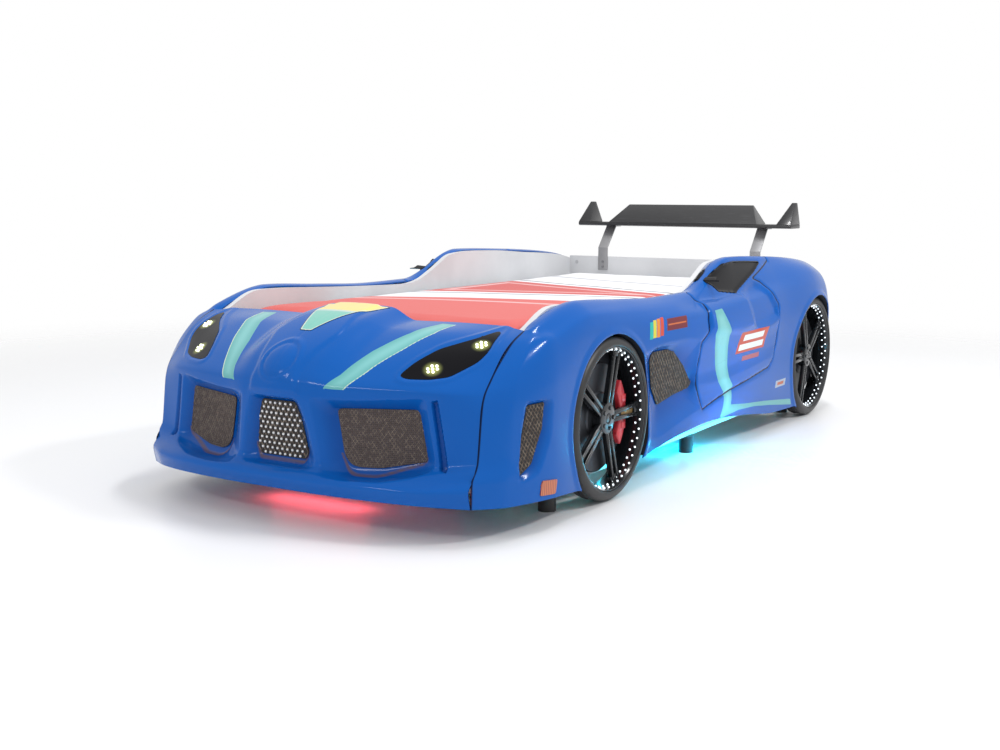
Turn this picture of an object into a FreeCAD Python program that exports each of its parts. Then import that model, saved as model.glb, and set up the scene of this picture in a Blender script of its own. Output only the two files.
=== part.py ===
import FreeCAD, Part

import os
import re

import Sketcher

Vector = FreeCAD.Vector

# A racing-car bed for a 90 x 190 cm mattress, in millimetres.
# +Z is up, the nose of the car points along -Y and the car's left side is +X.
# The origin is on the floor, under the middle of the overall box.

SIZES = {
    # mattress and the boards round it
    "mattress_length": 1890,
    "mattress_width": 890,
    "mattress_thickness": 170,
    "mattress_crown": 8,
    "mattress_gap": 10,
    "mattress_edge": 24,
    "bed_base_height": 285,
    "board_thickness": 16,
    "board_bottom": 50,
    "board_drop": 8,
    "headboard_height": 522,
    "footboard_gap": 5,
    "cap_inset": 32,
    "cap_drop": 24,
    "cap_radius": 7,
    "cap_thickness": 1.5,
    "bolt_low_rise": 60,
    "bolt_high_rise": 90,
    "bolt_radius": 6,
    "bolt_head": 4,
    # slatted base
    "slat_width": 62,
    "slat_thickness": 12,
    "slat_count": 14,
    "slat_margin": 15,
    "slat_end_gap": 3,
    "rail_width": 28,
    "rail_height": 38,
    "beam_width": 40,
    "beam_height": 60,
    "leg_width": 36,
    "foot_radius": 22,
    # moulded body
    "hood_length": 369,
    "hood_edge_gap": 19,
    "tail_overhang": 111,
    "flank_half_width": 588,
    "seam_half_width": 480,
    "shell_wall": 5,
    "seam_gap": 0.6,
    "fit_gap": 0.3,
    "hood_height": 458,
    "hood_block_rise": 31,
    "fender_rise": 89,
    "waist_height": 481,
    "roof_height": 573,
    "tail_height": 450,
    "sill_height": 60,
    "bumper_height": 88,
    "grille_top": 294,
    "grille_bottom": 166,
    "grille_wall": 3,
    "grille_reach": 150,
    "grille_lap": 9,
    "badge_wall": 2,
    # wheels
    "wheel_radius": 206,
    "wheel_floor_gap": 2,
    "front_wheel_face": 558,
    "rear_wheel_face": 574,
    "tyre_width": 64,
    "rim_radius": 182,
    "rim_wall": 9,
    "rim_inset": 6,
    "rim_back_wall": 4,
    "hub_radius": 40,
    "hub_bore_radius": 11,
    "hub_rise": 3,
    "hub_bevel": 4,
    "nut_circle_radius": 27,
    "nut_radius": 6,
    "nut_rise": 3,
    "spoke_inset": 15,
    "spoke_width": 10,
    "spoke_hub_gap": 24,
    "spoke_rim_gap": 18,
    "spoke_depth": 12,
    "spoke_count": 5,
    "front_axle_back": 645,
    "rear_axle_ahead": 243,
    "arch_gap": 6,
    "led_count": 40,
    "led_radius": 3,
    "led_strip_width": 8,
    "led_strip_thickness": 2,
    "led_strip_gap": 2,
    "disc_radius": 138,
    "disc_thickness": 7,
    "disc_hat_radius": 60,
    "disc_hat_height": 4,
    "caliper_depth": 12,
    "caliper_band": 34,
    "caliper_lap": 6,
    "caliper_offset": 58,
    "caliper_half_height": 99,
    "mount_radius": 70,
    # spoiler
    "wing_half_span": 430,
    "wing_chord": 100,
    "wing_thickness": 14,
    "wing_height": 640,
    "wing_overhang": 22,
    "ramp_half_width": 300,
    "ramp_top_half_width": 252,
    "ramp_rise": 68,
    "ramp_top_depth": 14,
    "endplate_width": 56,
    "endplate_rise": 78,
    "endplate_top_width": 14,
    "endplate_top_depth": 22,
    "bracket_spacing": 616,
    "bracket_width": 40,
    "bracket_thickness": 4,
    "bracket_foot": 470,
    "bracket_bend": 557,
    "bracket_lean": 70,
    "bracket_flange": 46,
    "screw_rise": 12,
    "screw_spacing": 20,
    "screw_radius": 5,
    "screw_head": 2,
    # lighting
    "strip_height": 10,
    "strip_thickness": 3,
    "strip_length": 1000,
    "front_strip_length": 600,
    "controller_length": 120,
    "controller_height": 80,
    "controller_depth": 35,
    "inlet_rise": 20,
    "inlet_radius": 4,
    "inlet_depth": 10,
    "marker_ahead": 344,
    "marker_rise": 28,
    "marker_length": 52,
    "marker_height": 28,
    "marker_wall": 3,
}

doc = FreeCAD.newDocument("CarBed")
sheet = doc.addObject("Spreadsheet::Sheet", "Sizes")
for row, (alias, number) in enumerate(SIZES.items(), start=1):
    sheet.set("A%d" % row, alias)
    sheet.set("B%d" % row, str(number))
    sheet.setAlias("B%d" % row, alias)
doc.recompute()


class Size:
    """The sheet's values, read by name."""

    def __getattr__(self, alias):
        return float(sheet.get(alias))


size = Size()
pieces = []

# Places that several pieces share, as formulas of the sheet's names.
HALF_BED = "(mattress_width / 2 + mattress_gap)"
BOARD_FACE = "(mattress_width / 2 + mattress_gap + board_thickness)"
WELL_LENGTH = "(mattress_length + 2 * mattress_gap)"
NOSE = ("(-(hood_length + mattress_length + mattress_gap + board_thickness"
        " + tail_overhang) / 2)")
MATTRESS_FRONT = "(%s + hood_length)" % NOSE
FOOTBOARD_FACE = "(%s - mattress_gap)" % MATTRESS_FRONT
HEADBOARD_FACE = "(%s + mattress_length + mattress_gap)" % MATTRESS_FRONT
FRONT_AXLE = "(%s + front_axle_back)" % NOSE
REAR_AXLE = "(-%s - rear_axle_ahead)" % NOSE
AXLE_HEIGHT = "(wheel_radius + wheel_floor_gap)"
WHEEL_BACKS = {"front": "(front_wheel_face - tyre_width)", "rear": "(rear_wheel_face - tyre_width)"}
RAIL_TOP = "(bed_base_height - slat_thickness)"


def formula(text):
    """The formula with each size's name written as a reference to the sheet."""
    def refer(match):
        word = match.group(0)
        return "Sizes." + word if word in SIZES else word
    return re.sub(r"[a-z_]+", refer, str(text))


def measure(text):
    """The formula's value in millimetres."""
    values = {alias: float(sheet.get(alias)) for alias in SIZES}
    total = re.sub(r"[a-z_]+", lambda match: repr(values[match.group(0)]), str(text))
    return FreeCAD.Units.Quantity(total).Value


def bind(item, **formulas):
    """Tie the item's properties to the sheet; a double underscore stands for a dot."""
    for name, text in formulas.items():
        item.setExpression(name.replace("__", "."), formula(text))


def place(item, x=0, y=0, z=0):
    """Tie the item's position to the sheet."""
    bind(item, Placement__Base__x=x, Placement__Base__y=y, Placement__Base__z=z)


def keep(item, label):
    """Give the item its own label and count it as a piece of the bed."""
    item.Label = label
    pieces.append(item)
    return item


def block(x, y, z, length, width, height):
    """A box from its low corner and its three sizes, all given as formulas."""
    item = doc.addObject("Part::Box", "Block")
    bind(item, Length=length, Width=width, Height=height)
    place(item, x, y, z)
    return item


def rod(x, y, z, radius, height, direction=Vector(0, 0, 1), angle=360):
    """A cylinder that starts at x, y, z and runs along the direction."""
    item = doc.addObject("Part::Cylinder", "Rod")
    item.Placement = FreeCAD.Placement(Vector(), FreeCAD.Rotation(Vector(0, 0, 1), direction))
    bind(item, Radius=radius, Height=height)
    item.Angle = angle
    place(item, x, y, z)
    return item


def group(items, label):
    """Separate solids that share one node, such as a set of equal screws."""
    item = doc.addObject("Part::Compound", "Group")
    item.Links = items
    return keep(item, label)


def cut(base, tool):
    item = doc.addObject("Part::Cut", "Cut")
    item.Base = base
    item.Tool = tool
    return item


def shaped(shape, label):
    """A piece whose shape is worked out from the sheet's values."""
    item = doc.addObject("Part::Feature", "Shaped")
    item.Shape = shape
    item.Placement = FreeCAD.Placement()
    return keep(item, label)


# Drawing helpers for the turned and padded pieces.

def newBody(label):
    body = doc.addObject("PartDesign::Body", "Body")
    return keep(body, label)


def newSketch(body, plane, offset=None):
    """A sketch on one of the body's own origin planes."""
    sketch = body.newObject("Sketcher::SketchObject", "Sketch")
    origin = [item for item in body.Origin.OriginFeatures if item.Role == plane][0]
    sketch.AttachmentSupport = (origin, "")
    sketch.MapMode = "FlatFace"
    if offset is not None:
        sketch.setExpression("AttachmentOffset.Base.z", formula(offset))
    return sketch


def pin(sketch, edge, point, axis, text):
    """Hold one coordinate of a point at the value of a formula."""
    name = "%s%d_%d" % (axis, edge, point)
    kind = {"x": "DistanceX", "y": "DistanceY"}[axis]
    sketch.addConstraint(Sketcher.Constraint(kind, -1, 1, edge, point, measure(text)))
    index = sketch.ConstraintCount - 1
    sketch.renameConstraint(index, name)
    sketch.setExpression("Constraints." + name, formula(text))


def outline(sketch, points):
    """A closed outline of straight lines, each corner held by two formulas."""
    corners = [Vector(measure(x), measure(y), 0) for x, y in points]
    first = sketch.GeometryCount
    for i, corner in enumerate(corners):
        after = corners[(i + 1) % len(corners)]
        sketch.addGeometry(Part.LineSegment(corner, after), False)
    last = sketch.GeometryCount - 1
    for i in range(first, last + 1):
        after = first if i == last else i + 1
        sketch.addConstraint(Sketcher.Constraint("Coincident", i, 2, after, 1))
    for i, (x, y) in enumerate(points):
        pin(sketch, first + i, 1, "x", x)
        pin(sketch, first + i, 1, "y", y)


def circle(sketch, radius, x="0", y="0"):
    """A circle about a centre that formulas hold."""
    centre = Vector(measure(x), measure(y), 0)
    edge = sketch.addGeometry(Part.Circle(centre, Vector(0, 0, 1), measure(radius)), False)
    if (x, y) == ("0", "0"):
        sketch.addConstraint(Sketcher.Constraint("Coincident", edge, 3, -1, 1))
    else:
        pin(sketch, edge, 3, "x", x)
        sketch.addConstraint(Sketcher.Constraint("PointOnObject", edge, 3, -1))
    sketch.addConstraint(Sketcher.Constraint("Radius", edge, measure(radius)))
    index = sketch.ConstraintCount - 1
    name = "radius%d" % edge
    sketch.renameConstraint(index, name)
    sketch.setExpression("Constraints." + name, formula(radius))


def pad(body, sketch, length, midplane=False):
    item = body.newObject("PartDesign::Pad", "Pad")
    item.Profile = sketch
    item.Midplane = midplane
    bind(item, Length=length)
    return item


def turn(body, sketch):
    """A full turn of the sketch about its own upright axis."""
    item = body.newObject("PartDesign::Revolution", "Turned")
    item.Profile = sketch
    item.ReferenceAxis = (sketch, ["V_Axis"])
    item.Angle = 360
    return item


def polar(body, feature, count):
    """Copies of a feature spaced evenly about the body's Z axis."""
    item = body.newObject("PartDesign::PolarPattern", "Pattern")
    item.Originals = [feature]
    axis = [entry for entry in body.Origin.OriginFeatures if entry.Role == "Z_Axis"][0]
    item.Axis = (axis, [""])
    item.Angle = 360
    bind(item, Occurrences=count)
    body.Tip = item
    return item


# The moulded body: smooth surfaces through stations of hand-set points.

def smooth(knots, values):
    """A curve through the values that never swings past them."""
    count = len(knots)
    step = [knots[i + 1] - knots[i] for i in range(count - 1)]
    rate = [(values[i + 1] - values[i]) / step[i] for i in range(count - 1)]
    slope = [rate[0]] + [0.0] * (count - 2) + [rate[-1]]
    for i in range(1, count - 1):
        if rate[i - 1] * rate[i] > 0:
            before = 2 * step[i] + step[i - 1]
            after = step[i] + 2 * step[i - 1]
            slope[i] = (before + after) / (before / rate[i - 1] + after / rate[i])

    def curve(spot):
        spot = min(max(spot, knots[0]), knots[-1])
        i = 0
        while i < count - 2 and spot > knots[i + 1]:
            i += 1
        u = (spot - knots[i]) / step[i]
        v = 1 - u
        start = (1 + 2 * u) * v * v * values[i] + u * v * v * step[i] * slope[i]
        end = u * u * (3 - 2 * u) * values[i + 1] - u * u * v * step[i] * slope[i + 1]
        return start + end

    return curve


def sweep(stations):
    """The surface through the stations' rows of points, as a function giving a grid."""
    spots = [spot for spot, _ in stations]
    rows = list(range(len(stations[0][1])))
    along = [[smooth(spots, [points[row][axis] for _, points in stations]) for axis in range(3)]
             for row in rows]

    def grid(across, down):
        lines = []
        for spot in across:
            keys = [[curve(spot) for curve in along[row]] for row in rows]
            curves = [smooth(rows, [key[axis] for key in keys]) for axis in range(3)]
            lines.append([Vector(*(curve(turn) for curve in curves)) for turn in down])
        return lines

    return grid


def moved(grid, depth, square_ends=()):
    """The grid's points moved inwards, square to the surface.

    Lines of the grid named in square_ends stay in their plane across the car, so that the
    panel's edge there is cut off square.
    """
    result = []
    for i, line in enumerate(grid):
        before = grid[max(i - 1, 0)]
        after = grid[min(i + 1, len(grid) - 1)]
        shifted = []
        for j, point in enumerate(line):
            across = after[j] - before[j]
            down = line[min(j + 1, len(line) - 1)] - line[max(j - 1, 0)]
            inwards = across.cross(down)
            if i in square_ends:
                inwards.x = 0
            inwards.normalize()
            shifted.append(point + inwards * depth)
        result.append(shifted)
    return result


def skin(grid, depth, wall, square_ends=()):
    """A closed sheet of the given wall, its outer face the given depth below the grid."""
    outer = Part.BSplineSurface()
    outer.interpolate(moved(grid, depth, square_ends))
    inner = Part.BSplineSurface()
    inner.interpolate(moved(grid, depth + wall, square_ends))
    faces = [outer.toShape(), inner.toShape()]
    for low, high in zip(borders(outer), borders(inner)):
        faces.append(Part.makeRuledSurface(low.toShape(), high.toShape()))
    shell = Part.Shell(faces)
    shell.sewShape()
    solid = Part.Solid(shell)
    if solid.Volume < 0:
        solid.reverse()
    return solid


def borders(surface):
    low, high, left, right = surface.bounds()
    return [surface.uIso(low), surface.uIso(high), surface.vIso(left), surface.vIso(right)]


def spread(low, high, count):
    return [low + (high - low) * i / (count - 1) for i in range(count)]


NOSE_AT = measure(NOSE)
TAIL_AT = -NOSE_AT
FRONT_AXLE_AT = measure(FRONT_AXLE)
REAR_AXLE_AT = measure(REAR_AXLE)
AXLE_AT = measure(AXLE_HEIGHT)
BOARD_FACE_AT = measure(BOARD_FACE)
ARCH_RADIUS = size.wheel_radius + size.arch_gap
FENDER_AT = AXLE_AT + ARCH_RADIUS + size.fender_rise
HOOD_CORNER = NOSE_AT + size.hood_length - 2 * size.hood_edge_gap - 1
PROFILE_ROWS = 9
FLANGE_REACH = 14
BOW_LENGTH = 200


def frontStations():
    """Sections of the front panel from hood to bumper, as distance behind the nose and height.

    Each row of points keeps its own line across the car: hood edge, hood, brow, emblem,
    top and bottom of the grilles, crease, lip and bottom edge. The six places are the
    middle of the car and five shares of the way out to the seam.
    """
    shares = (0, 0.19, 0.35, 0.625, 0.833, 1)
    hood = size.hood_height
    block_top = hood + size.hood_block_rise
    high = size.grille_top
    low = size.grille_bottom
    base = size.bumper_height
    rows = [
        [(350, block_top), (350, block_top - 3), (350, hood - 1), (350, hood + 1), (350, hood),
         (330, hood - 6)],
        [(235, block_top - 17), (235, block_top - 21), (255, hood - 11), (265, hood - 12),
         (285, hood - 16), (290, hood - 21)],
        [(125, block_top - 57), (130, block_top - 61), (145, hood - 53), (185, hood - 46),
         (225, hood - 43), (247, hood - 45)],
        [(50, hood - 73), (60, hood - 78), (80, hood - 93), (125, hood - 86), (165, hood - 86),
         (200, hood - 90)],
        [(15, high + 41), (25, high + 39), (45, high + 34), (80, high + 34), (115, high + 31),
         (160, high + 28)],
        [(13, high + 11), (23, high + 9), (45, high + 6), (80, high + 11), (115, high + 11),
         (150, high + 1)],
        [(29, low - 2), (31, low - 4), (39, low - 4), (72, low - 2), (108, low + 2),
         (133, low + 8)],
        [(20, base + 52), (20, base + 52), (25, base + 52), (50, base + 53), (85, base + 55),
         (120, base + 58)],
        [(0, base + 28), (0, base + 28), (3, base + 28), (19, base + 29), (50, base + 30),
         (100, base + 30)],
        [(11, base + 2), (11, base + 2), (14, base + 2), (30, base + 1), (60, base - 2),
         (108, base - 8)],
    ]
    reach = (size.hood_length - size.hood_edge_gap) / rows[0][0][0]
    stations = []
    for i, share in enumerate(shares):
        for side in (-1, 1) if share else (1,):
            x = side * share * size.seam_half_width
            section = [Vector(x, NOSE_AT + reach * row[i][0], row[i][1]) for row in rows]
            stations.append((x, section))
    return sorted(stations, key=lambda station: station[0])


def fore(share):
    """A place between the hood's rear corner and the front axle."""
    return HOOD_CORNER + (FRONT_AXLE_AT - HOOD_CORNER) * share


def between(share):
    """A place between the two axles."""
    return FRONT_AXLE_AT + (REAR_AXLE_AT - FRONT_AXLE_AT) * share


def crownLine():
    """Height of the body's top edge along the car: fender, waist, roof and tail."""
    waist = size.waist_height
    roof = size.roof_height
    points = [
        (HOOD_CORNER, size.hood_height - 6),
        (fore(0.11), FENDER_AT - 45),
        (fore(0.30), FENDER_AT - 17),
        (fore(0.49), FENDER_AT - 4),
        (fore(0.75), FENDER_AT - 5),
        (between(0.01), FENDER_AT - 9),
        (between(0.12), waist + 11),
        (between(0.24), waist + 4),
        (between(0.345), waist),
        (between(0.392), waist + 9),
        (between(0.454), roof - 48),
        (between(0.523), roof - 6),
        (between(0.587), roof),
        (between(0.71), roof - 4),
        (between(0.84), roof - 17),
        (between(0.976), roof - 29),
        (REAR_AXLE_AT + 114, roof - 51),
        (TAIL_AT - 49, size.tail_height + 40),
        (TAIL_AT, size.tail_height),
    ]
    return smooth([y for y, _ in points], [z for _, z in points])


def flankSection(y, crown, shoulder, low):
    """One section of a side panel, from its top flange over the crown and down to the sill.

    The points of the shoulder are insets from the widest flank and heights over the waist,
    and those of the lower door are insets and heights over the sill.
    """
    top = crown(y)
    drop = shoulder[0]
    points = [Vector(BOARD_FACE_AT + size.fit_gap, y, top - 5)]
    points.append(Vector(BOARD_FACE_AT + FLANGE_REACH - 1, y, top - 1))
    points.append(Vector(BOARD_FACE_AT + 2 * FLANGE_REACH, y, top))
    points.append(Vector(size.flank_half_width - drop[0], y, top - drop[1]))
    for inset, rise in shoulder[1:]:
        points.append(Vector(size.flank_half_width - inset, y, size.waist_height + rise))
    for inset, rise in low:
        points.append(Vector(size.flank_half_width - inset, y, size.sill_height + rise))
    return y, points


def sideStations(front):
    """Sections of the left side panel, from the seam with the front panel to the tail."""
    crown = crownLine()
    full = [
        flankSection(fore(0.11), crown, [(68, 15), (46, -46), (36, -86), (32, -161)],
                     [(34, 140), (32, 60), (34, 8)]),
        flankSection(fore(0.68), crown, [(58, 17), (40, -11), (34, -51), (36, -111)],
                     [(40, 160), (42, 60), (46, -5)]),
        flankSection(between(0.08), crown, [(63, 13), (42, -19), (32, -51), (30, -111)],
                     [(32, 180), (34, 80), (36, 15)]),
        flankSection(between(0.246), crown, [(66, 10), (42, -26), (24, -56), (20, -121)],
                     [(28, 180), (28, 90), (24, 46)]),
        flankSection(between(0.378), crown, [(73, 6), (53, -23), (20, -56), (13, -111)],
                     [(26, 190), (22, 95), (28, 52)]),
        flankSection(between(0.578), crown, [(78, 20), (50, -11), (18, -41), (10, -101)],
                     [(22, 190), (18, 110), (30, 30)]),
        flankSection(between(0.777), crown, [(73, 22), (43, 9), (18, -36), (10, -101)],
                     [(20, 190), (20, 92), (28, -3)]),
        flankSection(between(0.976), crown, [(58, 14), (30, 24), (8, -26), (0, -81)],
                     [(12, 190), (16, 90), (22, -10)]),
        flankSection(REAR_AXLE_AT + 114, crown, [(58, 17), (33, -1), (16, -46), (10, -101)],
                     [(13, 190), (16, 90), (23, 30)]),
        flankSection(TAIL_AT, crown, [(73, 12), (58, -61), (48, -91), (43, -141)],
                     [(43, 190), (43, 110), (48, 40)]),
    ]
    seam = front([size.seam_half_width], [0, 0.45, 1.2, 3.2, 4.4, 6, 7.4, 9])[0]
    first = [Vector(BOARD_FACE_AT + size.fit_gap, seam[0].y + 6, seam[0].z - 8)]
    first.append(Vector(BOARD_FACE_AT + size.shell_wall, seam[0].y + 3, seam[0].z - 3))
    first += seam
    bow = []
    for near, far in zip(first, full[0][1]):
        step = far - near
        bow.append(near + Vector(0.62 * step.x, 0.30 * step.y, 0.35 * step.z))
    start = full[0][0] - BOW_LENGTH
    return [(start, first), (start + 0.3 * BOW_LENGTH, bow)] + full


def prism(points, depth, axis):
    """A straight bar through the panel: the outline is in X and Z, or in Y and Z."""
    low, high = depth
    if axis == "y":
        wire = [Vector(x, low, z) for x, z in points]
        along = Vector(0, high - low, 0)
    else:
        wire = [Vector(low, y, z) for y, z in points]
        along = Vector(high - low, 0, 0)
    bar = Part.Face(Part.makePolygon(wire + [wire[0]])).extrude(along)
    if bar.Volume < 0:
        bar.reverse()
    return bar


def grown(points, distance):
    """The outline moved outwards by a distance, or inwards if it is negative."""
    face = Part.Face(Part.makePolygon([Vector(x, y, 0) for x, y in points + points[:1]]))
    offset = face.makeOffset2D(distance, 2)
    return [(vertex.X, vertex.Y) for vertex in offset.OuterWire.OrderedVertexes]


def mirrored(shape):
    return shape.mirror(Vector(), Vector(1, 0, 0))


def pair(shape, name):
    """The piece on the left side of the car and its mirror image on the right."""
    shaped(shape, "left_" + name)
    shaped(mirrored(shape), "right_" + name)


# Outlines on the moulded body, measured on the left side of the car.

SIDE_GRILLE = [
    (132, size.grille_top - 3),
    (335, size.grille_top),
    (362, size.grille_bottom + 10),
    (352, size.grille_bottom - 1),
    (190, size.grille_bottom - 5),
    (172, size.grille_bottom + 4),
]
MIDDLE_GRILLE = [
    (-60, size.grille_top),
    (60, size.grille_top),
    (74, size.grille_bottom + 2),
    (66, size.grille_bottom - 8),
    (-66, size.grille_bottom - 8),
    (-74, size.grille_bottom + 2),
]
HEADLIGHT = [(272, -96), (300, -106), (350, -107), (392, -103), (428, -80), (446, -48),
             (437, -14), (424, -9), (396, -20), (352, -40), (308, -68)]
BADGE = [(-92, 342), (92, 342), (14, 145), (-14, 145)]
BADGE_DROP = 60
WINDOW = [(0, 26), (70, 55), (145, 75), (264, 77), (440, 67), (454, 62), (305, 27), (180, -6),
          (67, -5), (50, 10)]
INTAKE = [(22, 86), (128, 88), (227, 36), (323, -22), (176, -42), (86, -64), (60, 1)]
FENDER_VENT = [(-386, 236), (-332, 236), (-337, 174), (-374, 102), (-416, 77), (-409, 163)]
LED_CLUSTERS = [(0.735, 2.95), (0.875, 1.75)]
LED_SPOTS = [(0, 0), (11, 5), (-11, 5), (7, -9), (-7, -9)]
LED_HEIGHT = 2
CUT_MARGIN = 20


def mirrorOutline(points):
    return [(-x, z) for x, z in points]


def buildFront(front):
    """Front panel with its three grilles, two headlights and the hood badge."""
    half = size.seam_half_width - size.seam_gap
    across = spread(-half, half, 41)
    down = spread(0, PROFILE_ROWS, 28)
    grid = front(across, down)
    panel = skin(grid, 0, size.shell_wall, (0, len(grid) - 1))
    behind = skin(grid, size.shell_wall + size.fit_gap, size.grille_wall)
    reach = (NOSE_AT - CUT_MARGIN, NOSE_AT + size.hood_length)
    grille_reach = (NOSE_AT - CUT_MARGIN, NOSE_AT + size.grille_reach)
    grilles = {
        "middle_grille": MIDDLE_GRILLE,
        "left_grille": SIDE_GRILLE,
        "right_grille": mirrorOutline(SIDE_GRILLE),
    }
    for label, points in grilles.items():
        panel = panel.cut(prism(points, reach, "y"))
        lapped = prism(grown(points, size.grille_lap), grille_reach, "y")
        shaped(behind.common(lapped), label)
    lamp = [(x, size.hood_height + drop) for x, drop in HEADLIGHT]
    whole = panel
    for points in (lamp, mirrorOutline(lamp)):
        panel = panel.cut(prism(points, reach, "y"))
    pair(whole.common(prism(grown(lamp, -size.fit_gap), reach, "y")), "headlight")
    pair(headlightLeds(front), "headlight_leds")
    shaped(panel, "front_panel")
    badge_sheet = skin(grid, -size.badge_wall - size.fit_gap, size.badge_wall)
    corners = [Vector(x, NOSE_AT + back, size.hood_height - BADGE_DROP) for x, back in BADGE]
    rise = Vector(0, 0, 2 * BADGE_DROP)
    badge = Part.Face(Part.makePolygon(corners + corners[:1])).extrude(rise)
    shaped(badge_sheet.common(badge), "hood_badge")


def headlightLeds(front):
    """Two clusters of small lamps that stand just above the headlight's face."""
    lamps = []
    for centre_x, centre_turn in LED_CLUSTERS:
        for shift_x, shift_turn in LED_SPOTS:
            x = centre_x * size.seam_half_width + shift_x
            spot = centre_turn + shift_turn / 60
            grid = front([x - 1, x, x + 1], [spot - 0.02, spot, spot + 0.02])
            centre = grid[1][1]
            inwards = (grid[2][1] - grid[0][1]).cross(grid[1][2] - grid[1][0])
            inwards.normalize()
            base = centre - inwards * size.fit_gap
            lamps.append(Part.makeCylinder(size.led_radius, LED_HEIGHT, base, inwards * -1))
    return Part.makeCompound(lamps)


def buildSides(front):
    """Side panels with their windows, intake grilles and fender vents."""
    stations = sideStations(front)
    side = sweep(stations)
    across = spread(stations[0][0], stations[-1][0], 64)
    down = spread(0, PROFILE_ROWS, 28)
    grid = side(across, down)
    panel = skin(grid, 0, size.shell_wall, (0,))
    behind = skin(grid, size.shell_wall + size.fit_gap, size.grille_wall)
    reach = (BOARD_FACE_AT + FLANGE_REACH, size.flank_half_width + CUT_MARGIN)
    for axle in (FRONT_AXLE_AT, REAR_AXLE_AT):
        centre = Vector(size.seam_half_width, axle, AXLE_AT)
        arch = Part.makeCylinder(ARCH_RADIUS, 200, centre, Vector(1, 0, 0))
        panel = panel.cut(arch)
        behind = behind.cut(arch)
    base = size.sill_height
    waist = size.waist_height
    window = [(between(0.445) + y, waist + z) for y, z in WINDOW]
    intake = [(between(0.109) + y, base + 200 + z) for y, z in INTAKE]
    vent = [(FRONT_AXLE_AT + y, base + z) for y, z in FENDER_VENT]
    pair(panel.common(prism(grown(window, -size.fit_gap), reach, "x")), "window")
    panel = panel.cut(prism(window, reach, "x"))
    for outline_points, name in ((intake, "intake_grille"), (vent, "fender_vent")):
        panel = panel.cut(prism(outline_points, reach, "x"))
        lapped = prism(grown(outline_points, size.grille_lap), reach, "x")
        pair(behind.common(lapped), name)
    pair(panel, "side_panel")
    low_y = FRONT_AXLE_AT - size.marker_ahead
    low_z = size.sill_height + size.marker_rise
    high_y = low_y + size.marker_length
    high_z = low_z + size.marker_height
    corners = [(low_y, low_z), (high_y, low_z), (high_y, high_z), (low_y, high_z)]
    raised = skin(grid, -size.marker_wall - size.fit_gap, size.marker_wall)
    marker = raised.common(prism(corners, reach, "x"))
    shaped(Part.makeCompound([marker, mirrored(marker)]), "side_markers")


def boardOutline(crown, low_y, high_y, count):
    """Edge of a side board: straight below, and just under the body's crown line on top."""
    drop = size.board_drop
    low = size.board_bottom
    tops = [Vector(BOARD_FACE_AT, y, crown(y) - drop) for y in spread(low_y, high_y, count)]
    top = Part.BSplineCurve()
    top.interpolate(tops)
    start = Vector(BOARD_FACE_AT, low_y, low)
    end = Vector(BOARD_FACE_AT, high_y, low)
    edges = [Part.LineSegment(start, tops[0]), top, Part.LineSegment(tops[-1], end),
             Part.LineSegment(end, start)]
    return Part.Wire([edge.toShape() for edge in edges])


def buildBoards():
    """White boards round the mattress, which carry the body panels and the base."""
    front_y = measure(FOOTBOARD_FACE) - size.board_thickness
    rear_y = measure(HEADBOARD_FACE) + size.board_thickness
    wire = boardOutline(crownLine(), front_y, rear_y, 48)
    side_board = Part.Face(wire).extrude(Vector(-size.board_thickness, 0, 0))
    pair(side_board, "side_board")
    width = "2 * %s" % HALF_BED
    headboard = block("-" + HALF_BED, HEADBOARD_FACE, "board_bottom", width, "board_thickness",
                      "headboard_height - board_bottom")
    keep(headboard, "headboard")
    footboard = block("-" + HALF_BED, FOOTBOARD_FACE + " - board_thickness", "board_bottom",
                      width, "board_thickness",
                      "hood_height - shell_wall - footboard_gap - board_bottom")
    keep(footboard, "footboard")


# Where the legs and feet stand, as shares of the well's length.

LEG_SHARES = (0.2, 0.5, 0.8)
FOOT_SHARES = (0.06, 0.5, 0.94)


def buildBase():
    """Slats on two rails and a middle beam with legs, and feet under the boards."""
    for side, x in (("left", HALF_BED + " - rail_width"), ("right", "-" + HALF_BED)):
        rail = block(x, FOOTBOARD_FACE, RAIL_TOP + " - rail_height", "rail_width", WELL_LENGTH,
                     "rail_height")
        keep(rail, side + "_slat_rail")
    slats = []
    pitch = "((%s - slat_width - 2 * slat_margin) / (slat_count - 1))" % WELL_LENGTH
    for i in range(int(size.slat_count)):
        y = "%s + slat_margin + %d * %s" % (FOOTBOARD_FACE, i, pitch)
        slats.append(block("-%s + slat_end_gap" % HALF_BED, y, RAIL_TOP,
                           "2 * (%s - slat_end_gap)" % HALF_BED, "slat_width",
                           "slat_thickness"))
    group(slats, "slats")
    beam = block("-beam_width / 2", FOOTBOARD_FACE, RAIL_TOP + " - beam_height", "beam_width",
                 WELL_LENGTH, "beam_height")
    keep(beam, "centre_beam")
    legs = []
    for share in LEG_SHARES:
        y = "%s + %s * %s - leg_width / 2" % (FOOTBOARD_FACE, share, WELL_LENGTH)
        legs.append(block("-leg_width / 2", y, "0", "leg_width", "leg_width",
                          RAIL_TOP + " - beam_height"))
    group(legs, "centre_legs")
    feet = []
    for sign in ("-", ""):
        for share in FOOT_SHARES:
            y = "%s + %s * %s" % (FOOTBOARD_FACE, share, WELL_LENGTH)
            x = "%s(%s - board_thickness / 2)" % (sign, BOARD_FACE)
            feet.append(rod(x, y, "0", "foot_radius", "board_bottom"))
    group(feet, "feet")


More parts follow.
